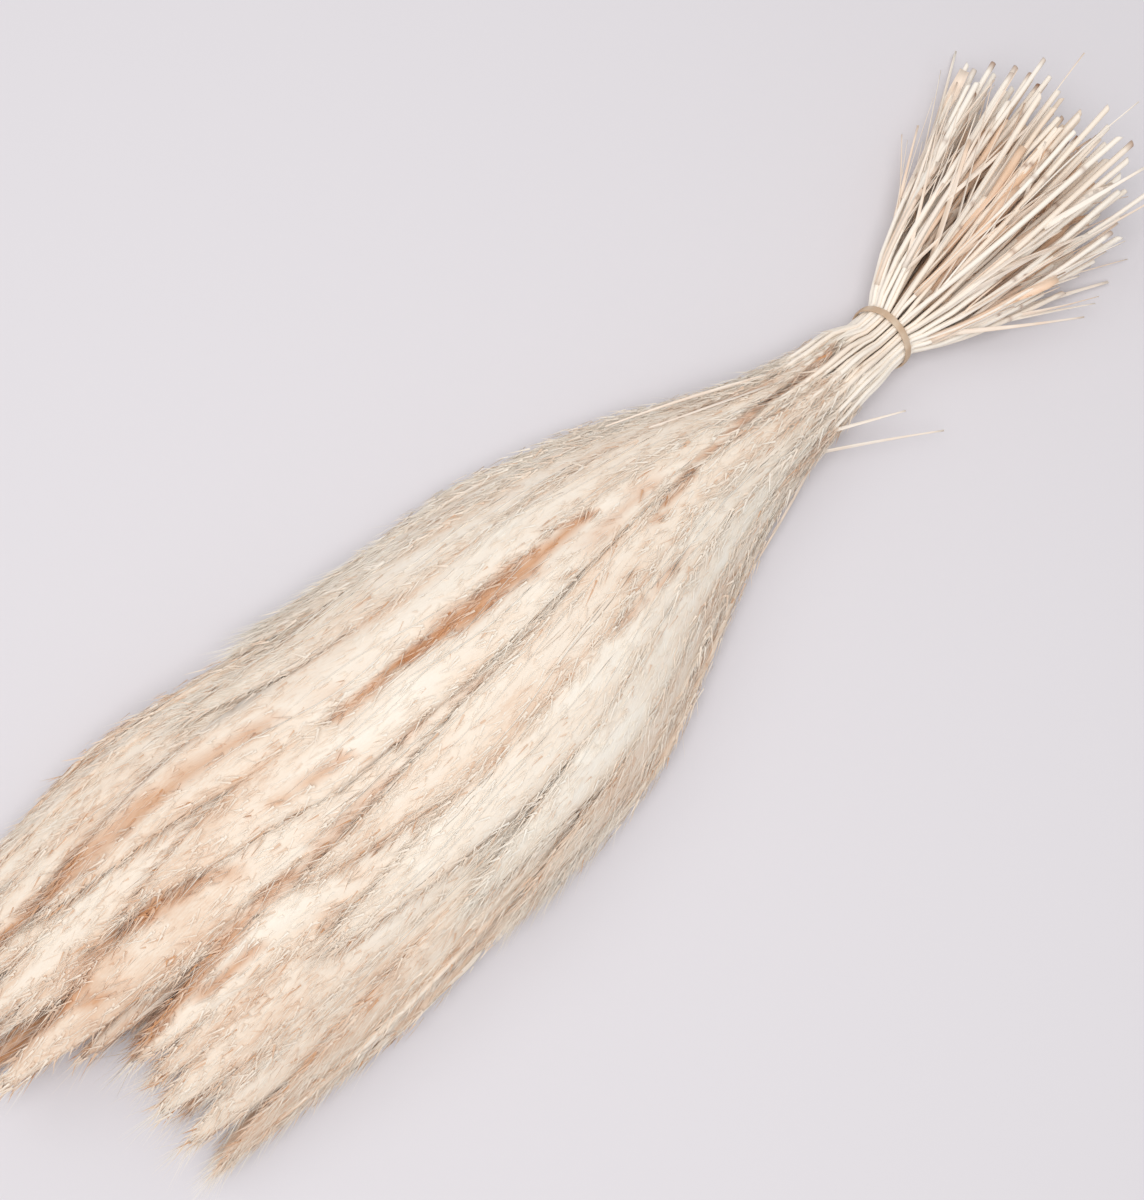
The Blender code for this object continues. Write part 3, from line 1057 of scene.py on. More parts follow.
    def leaves_of(self, tuft: Tuft) -> Iterator[tuple[np.ndarray, np.ndarray, float]]:
        """Root, tip and width of each leaf strip that the tuft's solid has.

        Args:
            tuft: The tuft. Only one on the rim has strips.

        Yields:
            Root and tip as points, and the strip's width.
        """
        stem = tuft.stems[0]
        if math.hypot(*tuft.place) < 0.8:
            return
        if tuft.name in self.strays:
            root, tip = self.strays[tuft.name]
            yield stem.path(np.array(root * MM)), np.array(tip) * MM, self.stray_width
            return
        chance, length, lift = stem.draws[9:12]
        if tuft.place[1] > -0.3 and chance < 0.6:
            reach = -self.fan_leaf_length * (0.7 + 0.5 * length)
            yield self.ends(stem, 0.6 * stem.cut, reach, 8 + 8 * lift)
        if tuft.place[1] > -0.3 and chance > 0.4 and stem.head > 66 * MM:
            reach = self.plume_leaf_length * (0.7 + 0.5 * length)
            yield self.ends(stem, self.plume_leaf_root, reach, 4 + 6 * lift)

    def ends(self, stem: Stem, root: float, length: float, lift: float) -> tuple:
        """Root, tip and width of a strip that leans off the bundle.

        Args:
            stem: The stem it grows on.
            root: Where it starts along the bundle.
            length: Its length along the bundle, negative towards the cut ends.
            lift: How far its tip stands off the stem, in millimetres.

        Returns:
            Root, tip and width.
        """
        x = np.array(root + length)
        tip = stem.path(x)
        out = unit(tip[1:] - FORM.place(x, np.array(0.0), np.array(0.0)))
        tip[1:] += lift * MM * out
        tip[2] = max(tip[2], 1 * MM)
        share = self.plume_leaf_share if length > 0 else 1.0
        return stem.path(np.array(root)), tip, self.leaf_width * share

    def strip(self, tuft: Tuft, root: np.ndarray, tip: np.ndarray, width: float) -> None:
        """A dry blade from root to tip that bows, twists and narrows to its blunt point.

        Its width is (1.04 - share)^0.6 of the width at the root, with share held at 0.82.

        Args:
            tuft: Its tuft.
            root: Where it grows.
            tip: Where it ends.
            width: Its width at the root.
        """
        rng = tuft.rng
        share = np.linspace(0, 1, self.strip_stations)
        points = root + (tip - root) * share[:, None]
        bow = np.sin(math.pi * share) * 0.035 * np.linalg.norm(tip - root)
        points[:, 2] += bow * (rng.random() - 0.2)
        points[:, 1] += bow * (rng.random() - 0.5)
        wide = width * np.clip(1.04 - share, 0.22, 1) ** 0.6
        curl = math.radians(60) + math.radians(110) * smooth(share * 1.3) * rng.random()
        hub = np.zeros((1, self.strip_stations))
        sections = strip_sections(wide[None], curl[None], hub, self.strip_wall, 3)
        twist = math.pi * (rng.random() - 0.5) + 2.2 * share * (rng.random() - 0.5)
        tone = 0.45 * self.sheath_tone[tuft.ring] + 0.3 * rng.random() + 0.1 * share
        sections = self.turned(sections, twist)
        tuft.stack.add(points[None], sections, Surface.LEAF, tone[None], cap=Cap.STRIP)


@dataclass(frozen=True)
class Head:
    """One seed head: a soft flattened spindle round its stem, more or less tan."""

    stem: Stem
    tuft: Tuft
    start: float
    tip: float
    tone: float
    fill: float
    flatness: float
    least_radius: float = 0.3 * MM
    growth: float = 75 * MM
    taper: float = 110 * MM
    taper_power: float = 0.7
    late_gain: float = 0.3
    late_span: tuple[float, float] = (360, 520)

    def girth(self, x: np.ndarray) -> np.ndarray:
        """The radius of a round body at x.

        It is the one with which the heads together fill the bundle's section there, with more
        room for each where others have ended. It grows from the least radius over the growth, and
        falls over the taper as a power of what is left.

        Args:
            x: Along the bundle.

        Returns:
            The radius at each x.
        """
        stems = STEMS_IN_TUFT * sum(count for _, count in FORM.rings)
        full = self.fill * np.sqrt(FORM.half_width(x) * FORM.half_height(x) / stems)
        full = full * (1 + self.late_gain * FORM.rise(x, *self.late_span))
        left = np.clip((self.tip - x) / self.taper, 0.0, 1.0)
        return self.least_radius + full * smooth((x - self.start) / self.growth) * left**self.taper_power

    def skin(self, x: np.ndarray, turn: np.ndarray) -> tuple[np.ndarray, np.ndarray, np.ndarray]:
        """Points on the body's skin, at an angle from its side towards the bundle's outside.

        The section is an ellipse, girth / flatness wide and girth times flatness high, that stands
        with its height along the bundle's outward direction.

        Args:
            x: Along the bundle, of any shape.
            turn: The angle, of the same shape.

        Returns:
            Points, unit vectors off the skin, and unit vectors along the stem.
        """
        middle = self.stem.path(x)
        along = unit(self.stem.path(x + 1 * MM) - self.stem.path(x - 1 * MM))
        aside = unit(np.cross(along, FORM.outward(middle)))
        up = np.cross(aside, along)
        girth, cos, sin = (v[..., None] for v in (self.girth(x), np.cos(turn), np.sin(turn)))
        wide, high = girth / self.flatness, girth * self.flatness
        points = middle + wide * cos * aside + high * sin * up
        return points, unit(cos / wide * aside + sin / high * up), along

    def turns(self, shape: tuple[int, ...]) -> np.ndarray:
        """Angles on the head, all round an inner one and mostly on the outside of an outer one."""
        spread = math.pi if self.tuft.ring < 2 else math.radians(115)
        return math.pi / 2 + spread * (2 * self.tuft.rng.random(shape) - 1)

    def shade(self, share: float, x: np.ndarray, turn: np.ndarray) -> np.ndarray:
        """A share of the tone, with painted shade in tan down the head's sides, and more tan towards the
        tips.
        """
        return share * self.tone + 0.26 * (1 - np.sin(turn)) + 0.34 * FORM.rise(x, 260, 480)


@dataclass(frozen=True)
class SeedHeads:
    """The feathery heads: streaked bodies, flat locks, long strands and a down of fine husks.

    What there is of each is given ring by ring. A span in millimetres is the least length and the
    most that a draw adds.
    """

    fill: float = 1.22
    flatness: tuple[float, ...] = (1.0, 0.95, 0.66, 0.46)
    sides: tuple[int, ...] = (10, 10, 12, 16)
    stations: tuple[int, ...] = (28, 28, 40, 48)
    side_shoots: tuple[tuple[float, float], ...] = ((0.25, 0.5), (0.3, 0.7), (0.0, 0.0))
    furrow: float = 0.06
    locks_each: tuple[int, ...] = (2, 3, 3, 6)
    lock_width: float = 1.3 * MM
    lock_run: tuple[float, float] = (30, 40)
    lock_lift: tuple[float, float] = (0.2, 1.1)
    lock_sunk: float = 0.2 * MM
    strands_each: tuple[int, ...] = (2, 3, 6, 14)
    strand_run: tuple[float, float] = (60, 110)
    strand_lift: tuple[float, float] = (0.3, 1.1)
    strand_radius: tuple[float, float] = (0.2, 0.16)
    husks_each: tuple[int, ...] = (200, 260, 720, 1880)
    husk_length: float = 5.5 * MM
    husk_width: float = 0.42 * MM
    husk_splay: float = 0.3
    tan_husks: float = 0.09
    awns_each: tuple[int, ...] = (30, 40, 140, 430)
    awn_length: float = 15 * MM
    awn_width: float = 0.14 * MM
    awn_splay: float = 0.22
    awns_at_tip: float = 0.3

    def build(self, tuft: Tuft) -> None:
        """Add the tuft's heads, fuller the nearer the tuft is to the outside.

        A head's side shoots reach past the tip of its stem, by a share of what is left to the end
        of the bundle, so that the heads end at many places.

        Args:
            tuft: Their tuft.
        """
        for stem in tuft.stems:
            least, more = self.side_shoots[stem.member]
            reach = (least + more * tuft.rng.random()) * (1 - abs(stem.across) ** 3)
            tip = stem.tip + reach * (stem.end - stem.tip)
            start = (12 + 34 * stem.draws[3]) * MM
            tone = 0.12 + 0.36 * tuft.rng.random() + 0.2 * min(stem.across, 0.2)
            head = Head(stem, tuft, start, tip, tone, self.fill, self.flatness[tuft.ring])
            for add in (self.body, self.locks, self.strands, self.husks, self.awns):
                add(head)

    def body(self, head: Head) -> None:
        """The streaked middle of the head, which runs out to its tip in a point.

        Its radius at each corner is that of the ellipse times 1 + furrow n, where n is a normal
        draw for each corner at every third station, carried evenly between them, so that the
        streaks run along it. A furrow is more tan than a ridge, and the sides more than the top, as
        painted shade.

        Args:
            head: The head.
        """
        tuft, flat = head.tuft, head.flatness
        k, sides = self.stations[tuft.ring], self.sides[tuft.ring]
        x = head.start + (head.tip - head.start) * np.linspace(0, 1, k) ** 0.95
        angle = np.arange(sides) * 2 * math.pi / sides
        normal = tuft.rng.normal(size=(k // 3 + 2, sides))
        at, part = np.divmod(np.arange(k) / 3, 1)
        at, part = at.astype(int), part[:, None]
        streak = (1 - part) * normal[at] + part * normal[at + 1]
        radius = head.girth(x)[:, None] * (1 + self.furrow * np.clip(streak, -2, 2))
        sections = np.stack(
            [radius * np.cos(angle) / flat, radius * np.sin(angle) * flat, 0 * radius], axis=-1
        )
        middle = head.stem.path(x)
        # Painted shade: tan down the head's sides and in its furrows.
        tone = head.shade(1.0, x[:, None], angle) + 0.02 - 0.1 * streak
        facing = FORM.outward(middle)[None]
        tuft.stack.add(middle[None], sections[None], Surface.HUSK, tone[None], mark=0.75, facing=facing)

    def locks(self, head: Head) -> None:
        """Flat pointed locks that lie along the body and rise off it towards their tips.

        At share s of its run a lock stands off the skin by its lift times s^1.6, less what its root
        is sunk. Its half width is that of a leaf shape, sin(pi s^0.7), and it is a fifth as thick
        as it is wide.

        Args:
            head: The head.
        """
        rng, n = head.tuft.rng, self.locks_each[head.tuft.ring]
        length = head.tip - head.start
        x0 = head.start + length * (0.03 + 0.82 * (np.arange(n) + rng.random(n)) / n)
        run = np.minimum(drawn(rng, self.lock_run, n), head.tip + 8 * MM - x0)
        s = np.linspace(0, 1, 8)[None]
        x = x0[:, None] + run[:, None] * s
        turn = head.turns((n, 1)) + (0.5 * rng.random((n, 1)) - 0.25) * s
        points, off, along = head.skin(np.minimum(x, head.tip), turn)
        points[..., 0] = x
        lift = drawn(rng, self.lock_lift, (n, 1)) * s**1.6 - self.lock_sunk
        wave = np.sin(x / (3 * MM) + 2 * math.pi * rng.random((n, 1))) * 0.45 * MM * (1 - s)
        paths = points + lift[..., None] * off + wave[..., None] * np.cross(along, off)
        leaf = np.sin(math.pi * np.clip(s, 0.03, 0.985) ** 0.7)
        sections = round_sections(self.lock_width * (0.5 + rng.random((n, 1))) * leaf, 6, 0.0, 0.2)
        tone = head.tone - 0.1 + 0.3 * rng.random(n)
        head.tuft.stack.add(paths, sections, Surface.HUSK, tone, mark=0.4, facing=off)

    def strands(self, head: Head) -> None:
        """Long fine side branches, bare and pale, that lie over the body.

        A strand wanders round its head by a slow wave and rises a little off the skin.

        Args:
            head: The head.
        """
        rng, n = head.tuft.rng, self.strands_each[head.tuft.ring]
        x0 = head.start + (head.tip - head.start) * (0.75 * rng.random(n) ** 1.2) - 10 * MM
        run = np.minimum(drawn(rng, self.strand_run, n), head.tip + 14 * MM - x0)
        s = np.linspace(0, 1, 12)[None]
        x = x0[:, None] + run[:, None] * s
        sway = 0.22 * np.sin(5 * s + 2 * math.pi * rng.random((n, 1)))
        sway = sway + 0.5 * (rng.random((n, 1)) - 0.5) * s
        points, off, _ = head.skin(np.minimum(x, head.tip), head.turns((n, 1)) + sway)
        points[..., 0] = x
        paths = points + (drawn(rng, self.strand_lift, (n, 1)) * (0.4 + 0.6 * s))[..., None] * off
        radii = drawn(rng, self.strand_radius, (n, 1)) * (1.1 - 0.7 * s)
        tone = head.tone * 0.5 - 0.3 + 0.35 * rng.random(n)
        sections = round_sections(radii, 3, -math.pi / 2)
        head.tuft.stack.add(paths, sections, Surface.HUSK, tone, facing=off)

    def husks(self, head: Head) -> None:
        """A down of short husks that lie on the body at all angles near its own.

        A husk goes from its root on the skin along the stem, with a little lean off the skin and a
        normal draw to each side, so that together they look crinkled. On a head's flanks they are
        longer and stand further off, and so bridge the groove to the next head. About one in
        eleven is tan.

        Args:
            head: The head.
        """
        rng, n = head.tuft.rng, self.husks_each[head.tuft.ring]
        x = head.start + (head.tip - head.start) * (0.01 + 0.985 * rng.random(n))
        turn = head.turns((n,))
        root, off, along = head.skin(x, turn)
        side = np.cross(along, off)
        flank = np.abs(np.cos(turn))[:, None]
        root = root + off * (rng.random((n, 1)) ** 2 * (1.2 + 2.2 * flank) - 0.15) * MM
        long = self.husk_length * (0.45 + 1.1 * rng.random((n, 1))) * (1 + 0.5 * flank)
        lean, splay = 0.1 * rng.random((n, 1)), self.husk_splay * rng.normal(size=(n, 1))
        way = unit(along + lean * off + splay * side)
        wide = self.husk_width * (0.6 + 0.8 * rng.random(n))
        # The tone carries painted shade: more tan down the head's sides.
        tone = head.shade(0.7, x, turn) - 0.2 + 0.5 * rng.random(n)
        tone += 0.5 * (rng.random(n) < self.tan_husks)
        head.tuft.stack.add_slivers(root, long * way, off, wide, 0.3, tone, rng.random(n))

    def awns(self, head: Head) -> None:
        """Fine long awns that stand off the head, a share of them near its tip, as a haze.

        Args:
            head: The head.
        """
        rng = head.tuft.rng
        n = int(self.awns_each[head.tuft.ring] * (0.6 + 0.9 * head.stem.across**2))
        at_tip = np.arange(n) < self.awns_at_tip * n
        share = np.where(at_tip, 1 - 0.2 * rng.random(n) ** 1.5, rng.random(n))
        root, off, along = head.skin(head.start + (head.tip - head.start) * share, head.turns((n,)))
        side = np.cross(along, off)
        long = self.awn_length * (0.4 + rng.random((n, 1))) * (1 + 0.25 * (share > 0.8))[:, None]
        lean = 0.08 + 0.3 * rng.random((n, 1)) ** 2
        way = unit(along + lean * off + self.awn_splay * rng.normal(size=(n, 1)) * side)
        wide = self.awn_width * (0.7 + 0.6 * rng.random(n))
        tone = head.tone * 0.5 - 0.2 + 0.3 * rng.random(n)
        head.tuft.stack.add_slivers(root, long * way, off, wide, 0.8, tone, 0.3)


@dataclass(frozen=True)
class TieBand:
    """The flat rubber band, stretched round the straws and leaning towards the cut ends."""

    width: float = 3.3 * MM
    segments: int = 144
    corners: int = 20
    width_power: float = 0.3
    thickness_power: float = 0.45
    ripple_room: float = 0.1 * MM
    ripple: float = 0.08 * MM
    waver: float = 0.12 * MM
    least_height: float = 0.02 * MM

    def build(self, finish: bpy.types.Material) -> bpy.types.Object:
        """Carry a rounded flat section round the circle of the tie.

        The section's outline takes its width from the cosine to the power 0.3 and its thickness
        from the sine to the power 0.45, with their signs. The middle line is a circle in a plane
        that leans by tie_lean and wavers a little, and the wall ripples over the straws.

        Args:
            finish: The rubber.

        Returns:
            The band.
        """
        around = np.linspace(0, 2 * math.pi, self.segments, endpoint=False)[:, None]
        corner = np.linspace(0, 2 * math.pi, self.corners, endpoint=False)[None, :]
        across = np.sign(np.cos(corner)) * np.abs(np.cos(corner)) ** self.width_power
        thick = np.sign(np.sin(corner)) * np.abs(np.sin(corner)) ** self.thickness_power
        middle = FORM.tie_inner_radius + FORM.tie_thickness / 2
        ripple = self.ripple * np.sin(18 * around) * (1 - 0.3 * np.cos(7 * around))
        room = self.ripple_room
        radius = middle - room + ripple + thick * (FORM.tie_thickness / 2 - room)
        up, side = np.sin(around - math.pi / 2), np.cos(around - math.pi / 2)
        x = across * self.width / 2 - math.tan(FORM.tie_lean) * FORM.tie_outer_radius * up
        x = x + self.waver * np.sin(3 * around + 1)
        z = np.maximum(FORM.tie_height + radius * up, self.least_height)
        points = np.stack([x - FORM.tie_foot_x, radius * side, z], -1)
        rows, columns = points.shape[:2]
        i, j = np.meshgrid(np.arange(rows), np.arange(columns), indexing="ij")
        i2, j2 = (i + 1) % rows, (j + 1) % columns
        faces = np.stack([i * columns + j, i * columns + j2, i2 * columns + j2, i2 * columns + j], -1)
        mesh = bpy.data.meshes.new("rubber_band")
        mesh.from_pydata(points.reshape(-1, 3), [], faces.reshape(-1, 4))
        mesh.update()
        mesh.shade_smooth()
        mesh.materials.append(finish)
        return put("rubber_band", mesh)


def add_node(
    tree: bpy.types.NodeTree, kind: str, inputs: Mapping[int | str, object] = {}, **settings: object
) -> bpy.types.Node:
    """Add a shader node with its settings, its input values and its links.

    Args:
        tree: The material's node tree.
        kind: The node's type after ShaderNode.
        inputs: For each input's name or number, a value or the output socket that feeds it.
        **settings: Properties of the node.

    Returns:
        The node.
    """
    made = tree.nodes.new(f"ShaderNode{kind}")
    for name, value in settings.items():
        setattr(made, name, value)
    for name, value in inputs.items():
        if isinstance(value, bpy.types.NodeSocket):
            tree.links.new(value, made.inputs[name])
        else:
            made.inputs[name].default_value = value
    return made


def new_material(name: str) -> tuple[bpy.types.Material, bpy.types.NodeTree]:
    """An empty node material.

    Args:
        name: The material's name.

    Returns:
        The material and its node tree.
    """
    made = bpy.data.materials.new(name)
    made.use_nodes = True
    made.node_tree.nodes.clear()
    return made, made.node_tree


def noise_on(
    tree: bpy.types.NodeTree,
    place: bpy.types.NodeSocket,
    repeats: tuple[float, float, float],
    detail: float,
) -> bpy.types.NodeSocket:
    """Noise on a place that is stretched first, so that it makes streaks.

    Args:
        tree: The material's node tree.
        place: What the noise is laid on.
        repeats: How often it repeats to a metre along each axis.
        detail: How many finer noises are laid over it.

    Returns:
        The noise, 0 to 1.
    """
    stretched = add_node(tree, "Mapping", {"Vector": place, "Scale": repeats}).outputs[0]
    return add_node(tree, "TexNoise", {"Vector": stretched, "Scale": 1.0, "Detail": detail}).outputs[0]


def toned(
    tree: bpy.types.NodeTree,
    shares: Sequence[tuple[bpy.types.NodeSocket, float]],
    span: tuple[float, float],
    colours: tuple[str, str],
    blend: Blend,
) -> tuple[bpy.types.NodeSocket, bpy.types.NodeSocket]:
    """A colour between two, by the tone of the place and a share of each pattern.

    Args:
        tree: The material's node tree.
        shares: Each pattern with the share of it that is added to the tone.
        span: The sum that gives the first colour, and the one that gives the second.
        colours: The two colours.
        blend: How the first goes over into the second.

    Returns:
        The sum and the colour.
    """
    total = add_node(tree, "Attribute", attribute_name="tone").outputs["Fac"]
    for pattern, share in shares:
        inputs = {0: pattern, 1: share, 2: total}
        total = add_node(tree, "Math", inputs, operation="MULTIPLY_ADD").outputs[0]
    inputs = {0: total, 1: span[0], 2: span[1]}
    amount = add_node(tree, "MapRange", inputs, interpolation_type=blend.value).outputs[0]
    inputs = {0: amount, 6: linear(colours[0]), 7: linear(colours[1])}
    return total, add_node(tree, "Mix", inputs, data_type="RGBA").outputs[2]


def end_material(
    tree: bpy.types.NodeTree,
    height: bpy.types.NodeSocket,
    relief: tuple[float, float],
    inputs: Mapping[str, object],
) -> None:
    """Give a material its surface, with a relief from one of its patterns.

    Args:
        tree: The material's node tree.
        height: The pattern, 0 in the hollows and 1 on the ridges.
        relief: The ridges' height and how strongly they show.
        inputs: The shader's inputs by name, but for the relief.
    """
    distance, strength = relief
    bump = add_node(tree, "Bump", {"Height": height, "Distance": distance, "Strength": strength})
    shader = add_node(tree, "BsdfPrincipled", {**inputs, "Normal": bump.outputs[0]})
    add_node(tree, "OutputMaterial", {"Surface": shader.outputs[0]})


@dataclass(frozen=True)
class BleachedStraw:
    """Bleached grass straw: hollow stalks with a waxy skin, so a soft gloss over fine long fibres."""

    name: str = "bleached_grass_straw"
    pale: str = "#FBF3E8"
    tan: str = "#F2DCC5"
    brown: str = "#8A5A38"
    fibre_width: float = 0.35 * MM
    fibre_length: float = 18 * MM
    patch_repeats: tuple[float, float, float] = (90, 90, 22)
    tan_span: tuple[float, float] = (0.5, 1.5)
    roughness: tuple[float, float] = (0.42, 0.62)
    relief: tuple[float, float] = (0.06 * MM, 0.7)

    def build(self) -> bpy.types.Material:
        """Long fibres from noise on the grain, stretched along the straw, over its tone.

        Returns:
            The material.
        """
        made, tree = new_material(self.name)
        grain = add_node(tree, "Attribute", attribute_name="grain").outputs["Vector"]
        mark = add_node(tree, "Attribute", attribute_name="mark").outputs["Fac"]
        repeats = (1 / self.fibre_width, 1 / self.fibre_width, 1 / self.fibre_length)
        fibres = noise_on(tree, grain, repeats, 3.0)
        patches = noise_on(tree, grain, self.patch_repeats, 2.0)
        shares = [(fibres, 0.5), (patches, 0.5)]
        _, colour = toned(tree, shares, self.tan_span, (self.pale, self.tan), Blend.SOFT)
        inputs = {0: mark, 6: colour, 7: linear(self.brown)}
        colour = add_node(tree, "Mix", inputs, data_type="RGBA").outputs[2]
        gloss = add_node(tree, "MapRange", {0: fibres, 3: self.roughness[0], 4: self.roughness[1]})
        inputs = {"Base Color": colour, "Roughness": gloss.outputs[0], "IOR": 1.5}
        end_material(tree, fibres, self.relief, inputs)
        return made


@dataclass(frozen=True)
class PaperyLeaf:
    """Dried grass leaf and sheath: papery and dull, with parallel veins."""

    name: str = "papery_dry_leaf"
    pale: str = "#FAF1E6"
    tan: str = "#E9C6A8"
    vein_spacing: float = 0.45 * MM
    vein_repeats_along: float = 25
    blot_repeats: tuple[float, float, float] = (150, 150, 60)
    tan_span: tuple[float, float] = (0.55, 1.45)
    roughness: float = 0.62
    relief: tuple[float, float] = (0.08 * MM, 0.8)

    def build(self) -> bpy.types.Material:
        """Parallel veins from noise stretched along the blade, over blotches of tan.

        Returns:
            The material.
        """
        made, tree = new_material(self.name)
        grain = add_node(tree, "Attribute", attribute_name="grain").outputs["Vector"]
        repeats = (1 / self.vein_spacing, 1 / self.vein_spacing, self.vein_repeats_along)
        veins = noise_on(tree, grain, repeats, 2.0)
        blots = noise_on(tree, grain, self.blot_repeats, 4.0)
        shares = [(veins, 0.45), (blots, 0.7)]
        _, colour = toned(tree, shares, self.tan_span, (self.pale, self.tan), Blend.SOFT)
        end_material(tree, veins, self.relief, {"Base Color": colour, "Roughness": self.roughness})
        return made


@dataclass(frozen=True)
class BleachedHusk:
    """Bleached husks and awns: thin, dull and downy; pale, and tan with painted shade inside the bundle.
    """

    name: str = "bleached_grass_husk"
    pale: str = "#F5EEE3"
    beige: str = "#EBD8C5"
    tan: str = "#CC986E"
    hair_width: float = 0.7 * MM
    hair_length: float = 3 * MM
    lock_repeats: tuple[float, float, float] = (14, 60, 60)
    beige_span: tuple[float, float] = (0.65, 1.45)
    tan_span: tuple[float, float] = (1.3, 2.2)
    painted_shade_share: tuple[float, float] = (0.2, 1.1)
    relief: tuple[float, float] = (0.25 * MM, 0.8)

    def build(self) -> bpy.types.Material:
        """Husks vary from pale to beige by their tone, which carries painted shade down the heads'
        sides, and turn tan by the painted shade of the bundle's inside and its partings.

        How much of that painted shade a husk takes on goes by its mark, between the two numbers of
        painted_shade_share. Fine hairs, drawn about three times as coarse as real ones so that they
        show, come from noise on the grain, stretched along the husk.

        Returns:
            The material.
        """
        made, tree = new_material(self.name)
        place = add_node(tree, "TexCoord").outputs["Object"]
        grain = add_node(tree, "Attribute", attribute_name="grain").outputs["Vector"]
        painted_shade_depth = add_node(tree, "Attribute", attribute_name="painted_shade_depth").outputs["Fac"]
        mark = add_node(tree, "Attribute", attribute_name="mark").outputs["Fac"]
        repeats = (1 / self.hair_width, 1 / self.hair_width, 1 / self.hair_length)
        hairs = noise_on(tree, grain, repeats, 3.0)
        locks = noise_on(tree, place, self.lock_repeats, 3.0)
        shares = [(locks, 0.9), (hairs, 0.5)]
        shade, colour = toned(tree, shares, self.beige_span, (self.pale, self.beige), Blend.EVEN)
        # The tone's sum, with its painted shade down the heads' sides, turns tan past tan_span.
        aged_and_painted_shade = add_node(tree, "MapRange", {0: shade, 1: self.tan_span[0], 2: self.tan_span[1]}).outputs[0]
        # Painted shade: tan by the bundle's inside, as far as each husk's mark lets it.
        inside = add_node(tree, "MapRange", {0: mark, 3: self.painted_shade_share[0], 4: self.painted_shade_share[1]})
        inputs = {0: inside.outputs[0], 1: painted_shade_depth, 2: aged_and_painted_shade}
        amount = add_node(tree, "Math", inputs, operation="MULTIPLY_ADD", use_clamp=True).outputs[0]
        inputs = {0: amount, 6: colour, 7: linear(self.tan)}
        colour = add_node(tree, "Mix", inputs, data_type="RGBA").outputs[2]
        inputs = {"Base Color": colour, "Roughness": 0.7, "Specular IOR Level": 0.25, "Sheen Weight": 0.15}
        end_material(tree, hairs, self.relief, inputs)
        return made


@dataclass(frozen=True)
class AgedRubber:
    """Natural rubber band: moulded, cut and powdered, so matt with a faint bloom and fine pits."""

    name: str = "natural_rubber"
    body: str = "#C4A78B"
    bloom: str = "#D8C4AE"
    bloom_repeats: float = 140.0
    bloom_span: tuple[float, float] = (0.35, 0.7)
    grit: float = 0.5 * MM
    roughness: tuple[float, float] = (0.55, 0.8)
    relief: tuple[float, float] = (0.05 * MM, 0.5)

    def build(self) -> bpy.types.Material:
        """Bloom in soft patches from noise, and pits from a finer one.

        Returns:
            The material.
        """
        made, tree = new_material(self.name)
        place = add_node(tree, "TexCoord").outputs["Object"]
        inputs = {"Vector": place, "Scale": self.bloom_repeats, "Detail": 3.0}
        soft = add_node(tree, "TexNoise", inputs).outputs[0]
        inputs = {"Vector": place, "Scale": 1 / self.grit, "Detail": 2.0}
        pits = add_node(tree, "TexNoise", inputs).outputs[0]
        inputs = {0: soft, 1: self.bloom_span[0], 2: self.bloom_span[1]}
        amount = add_node(tree, "MapRange", inputs).outputs[0]
        inputs = {0: amount, 6: linear(self.body), 7: linear(self.bloom)}
        colour = add_node(tree, "Mix", inputs, data_type="RGBA").outputs[2]
        rough = add_node(tree, "MapRange", {0: soft, 3: self.roughness[0], 4: self.roughness[1]})
        inputs = {"Base Color": colour, "Roughness": rough.outputs[0], "IOR": 1.52}
        end_material(tree, pits, self.relief, inputs)
        return made


@dataclass(frozen=True)
class MattPaper:
    """The plain paper under the bundle: dull, with a grain that is hardly seen."""

    name: str = "matt_paper"
    colour: str = "#DAD6DA"
    grain_repeats: float = 900.0
    relief: tuple[float, float] = (0.02 * MM, 0.3)

    def build(self) -> bpy.types.Material:
        """One colour over a fine even grain from noise.

        Returns:
            The material.
        """
        made, tree = new_material(self.name)
        place = add_node(tree, "TexCoord").outputs["Object"]
        inputs = {"Vector": place, "Scale": self.grain_repeats, "Detail": 2.0}
        grain = add_node(tree, "TexNoise", inputs).outputs[0]
        inputs = {"Base Color": linear(self.colour), "Roughness": 0.9, "Specular IOR Level": 0.2}
        end_material(tree, grain, self.relief, inputs)
        return made


@dataclass(frozen=True)
class Lamp:
    """A soft round lamp that aims at the target.

    Its place is counted from the target: towards the picture's top, to its left, and up.
    """

    name: str
    power: float
    size: float
    towards_top: float
    to_left: float
    height: float


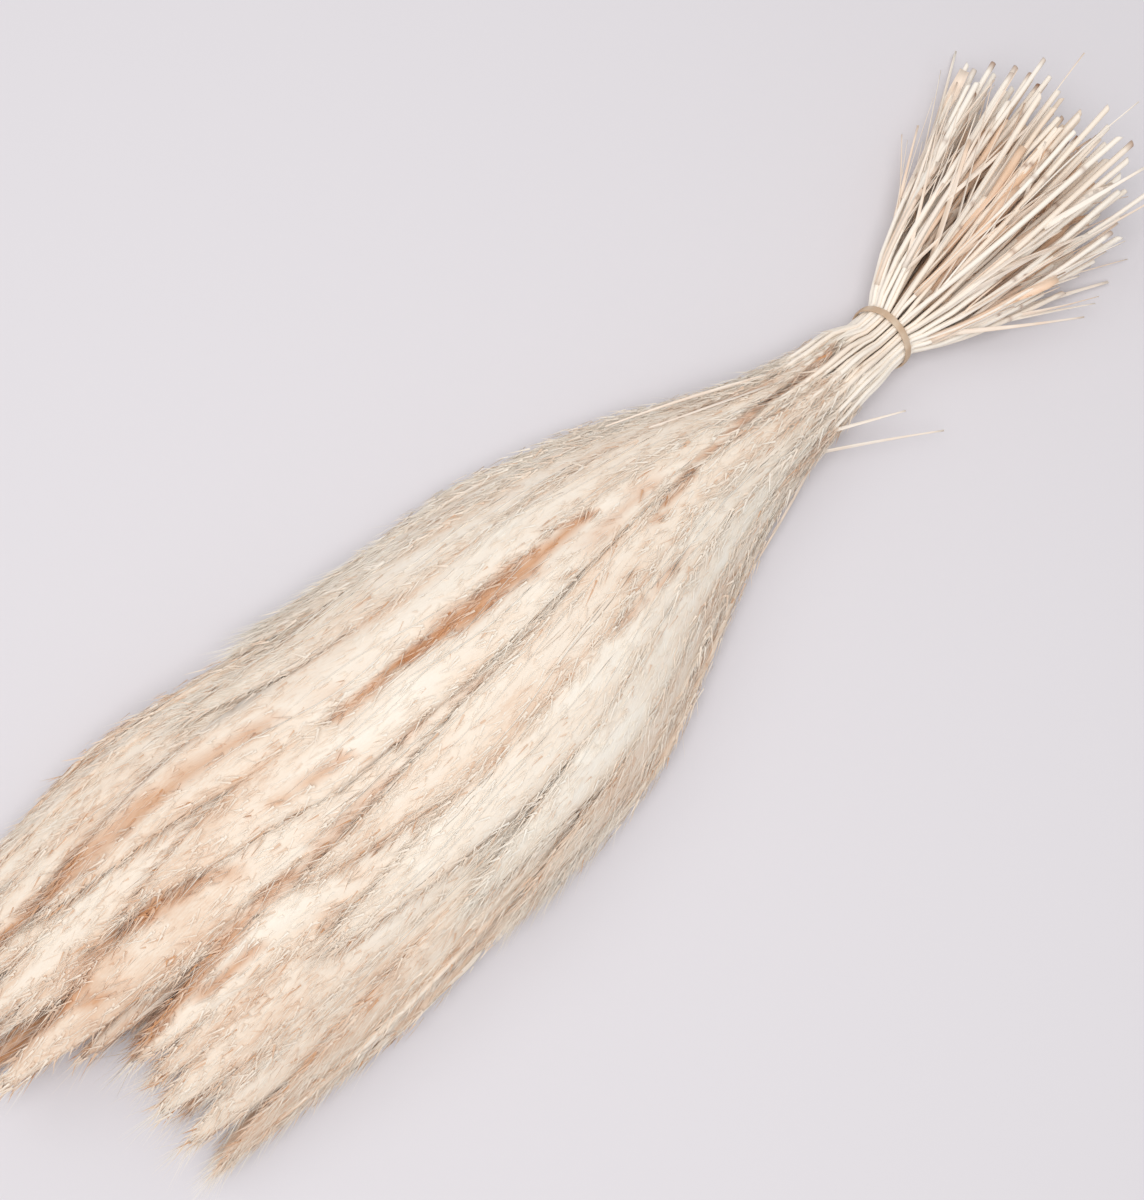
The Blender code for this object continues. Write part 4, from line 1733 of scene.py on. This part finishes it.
@dataclass(frozen=True)
class Studio:
    """The plain pale floor, the soft light and the camera over the bundle."""

    floor_side: float = 8.0
    target: tuple[float, float, float] = (0.194, -0.005, 0.035)
    image_up: tuple[float, float, float] = (-0.675, -0.738, 0.0)
    elevation: float = math.radians(83)
    distance: float = 0.766
    field_of_view: float = math.radians(40)
    sensor_height: float = 36
    sky: float = 0.5
    lamps: tuple[Lamp, ...] = (
        Lamp("overhead", 20.0, 1.5, -0.3, 0.12, 1.7),
        Lamp("key", 2.4, 0.9, 0.45, 0.8, 1.2),
    )

    def build(self) -> None:
        """Make the floor, the sky, the lamps and the camera."""
        self.floor()
        self.lights()
        self.camera()

    def floor(self) -> None:
        """A flat sheet of matt paper under the bundle."""
        half = self.floor_side / 2
        mesh = bpy.data.meshes.new("floor")
        corners = [(-half, -half, 0), (half, -half, 0), (half, half, 0), (-half, half, 0)]
        mesh.from_pydata(corners, [], [(0, 1, 2, 3)])
        mesh.materials.append(MattPaper().build())
        put("floor", mesh)

    def lights(self) -> None:
        """An even white sky, a wide lamp overhead, and a weaker one at the picture's upper left."""
        scene = bpy.context.scene
        world = bpy.data.worlds.new("soft_sky")
        world.use_nodes = True
        world.node_tree.nodes["Background"].inputs["Color"].default_value = linear("#FFFFFF")
        world.node_tree.nodes["Background"].inputs["Strength"].default_value = self.sky
        scene.world = world
        scene.view_settings.view_transform = "Standard"
        up, target = Vector(self.image_up), Vector(self.target)
        left = up.cross(Vector((0, 0, 1))) * -1
        for lamp in self.lamps:
            light = bpy.data.lights.new(lamp.name, "AREA")
            light.shape, light.size, light.energy = "DISK", lamp.size, lamp.power
            spot = up * lamp.towards_top + left * lamp.to_left + Vector((0, 0, lamp.height)) + target
            aim = (target - spot).to_track_quat("-Z", "Y").to_matrix().to_4x4()
            put(lamp.name, light).matrix_world = Matrix.Translation(spot) @ aim

    def camera(self) -> None:
        """A camera that looks down on the bundle from the picture's angle."""
        lens = bpy.data.cameras.new("camera")
        lens.sensor_fit = "VERTICAL"
        lens.sensor_height = self.sensor_height
        lens.lens = self.sensor_height / 2 / math.tan(self.field_of_view / 2)
        lens.clip_start, lens.clip_end = 0.01, 50
        up = Vector(self.image_up).normalized()
        back = -up * math.cos(self.elevation) + Vector((0, 0, 1)) * math.sin(self.elevation)
        right = up.cross(back).normalized()
        axes = Matrix((right, back.cross(right), back)).transposed().to_4x4()
        made = put("camera", lens)
        made.matrix_world = Matrix.Translation(Vector(self.target) + back * self.distance) @ axes
        bpy.context.scene.camera = made


def main() -> None:
    """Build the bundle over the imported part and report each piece."""
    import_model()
    Studio().build()
    finishes = [BleachedStraw().build(), PaperyLeaf().build(), BleachedHusk().build()]
    culms, leaves, heads = Culms(), DryLeaves(), SeedHeads()
    total = 0
    for tuft in all_tufts():
        culms.build(tuft)
        leaves.build(tuft, culms)
        heads.build(tuft)
        piece = tuft.stack.finish(tuft.name.replace("grass_", "fine_"), finishes)
        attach(piece, "root")
        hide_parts(tuft.name)
        total += len(piece.data.polygons)
        log.info("%s: %d triangles", piece.name, len(piece.data.polygons))
    band = TieBand().build(AgedRubber().build())
    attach(band, "root")
    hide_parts("tie_band")
    log.info("rubber_band: %d faces, %d triangles in the tufts", len(band.data.polygons), total)


if __name__ == "__main__":
    logging.basicConfig(level=logging.INFO, format="%(name)s: %(message)s")
    main()
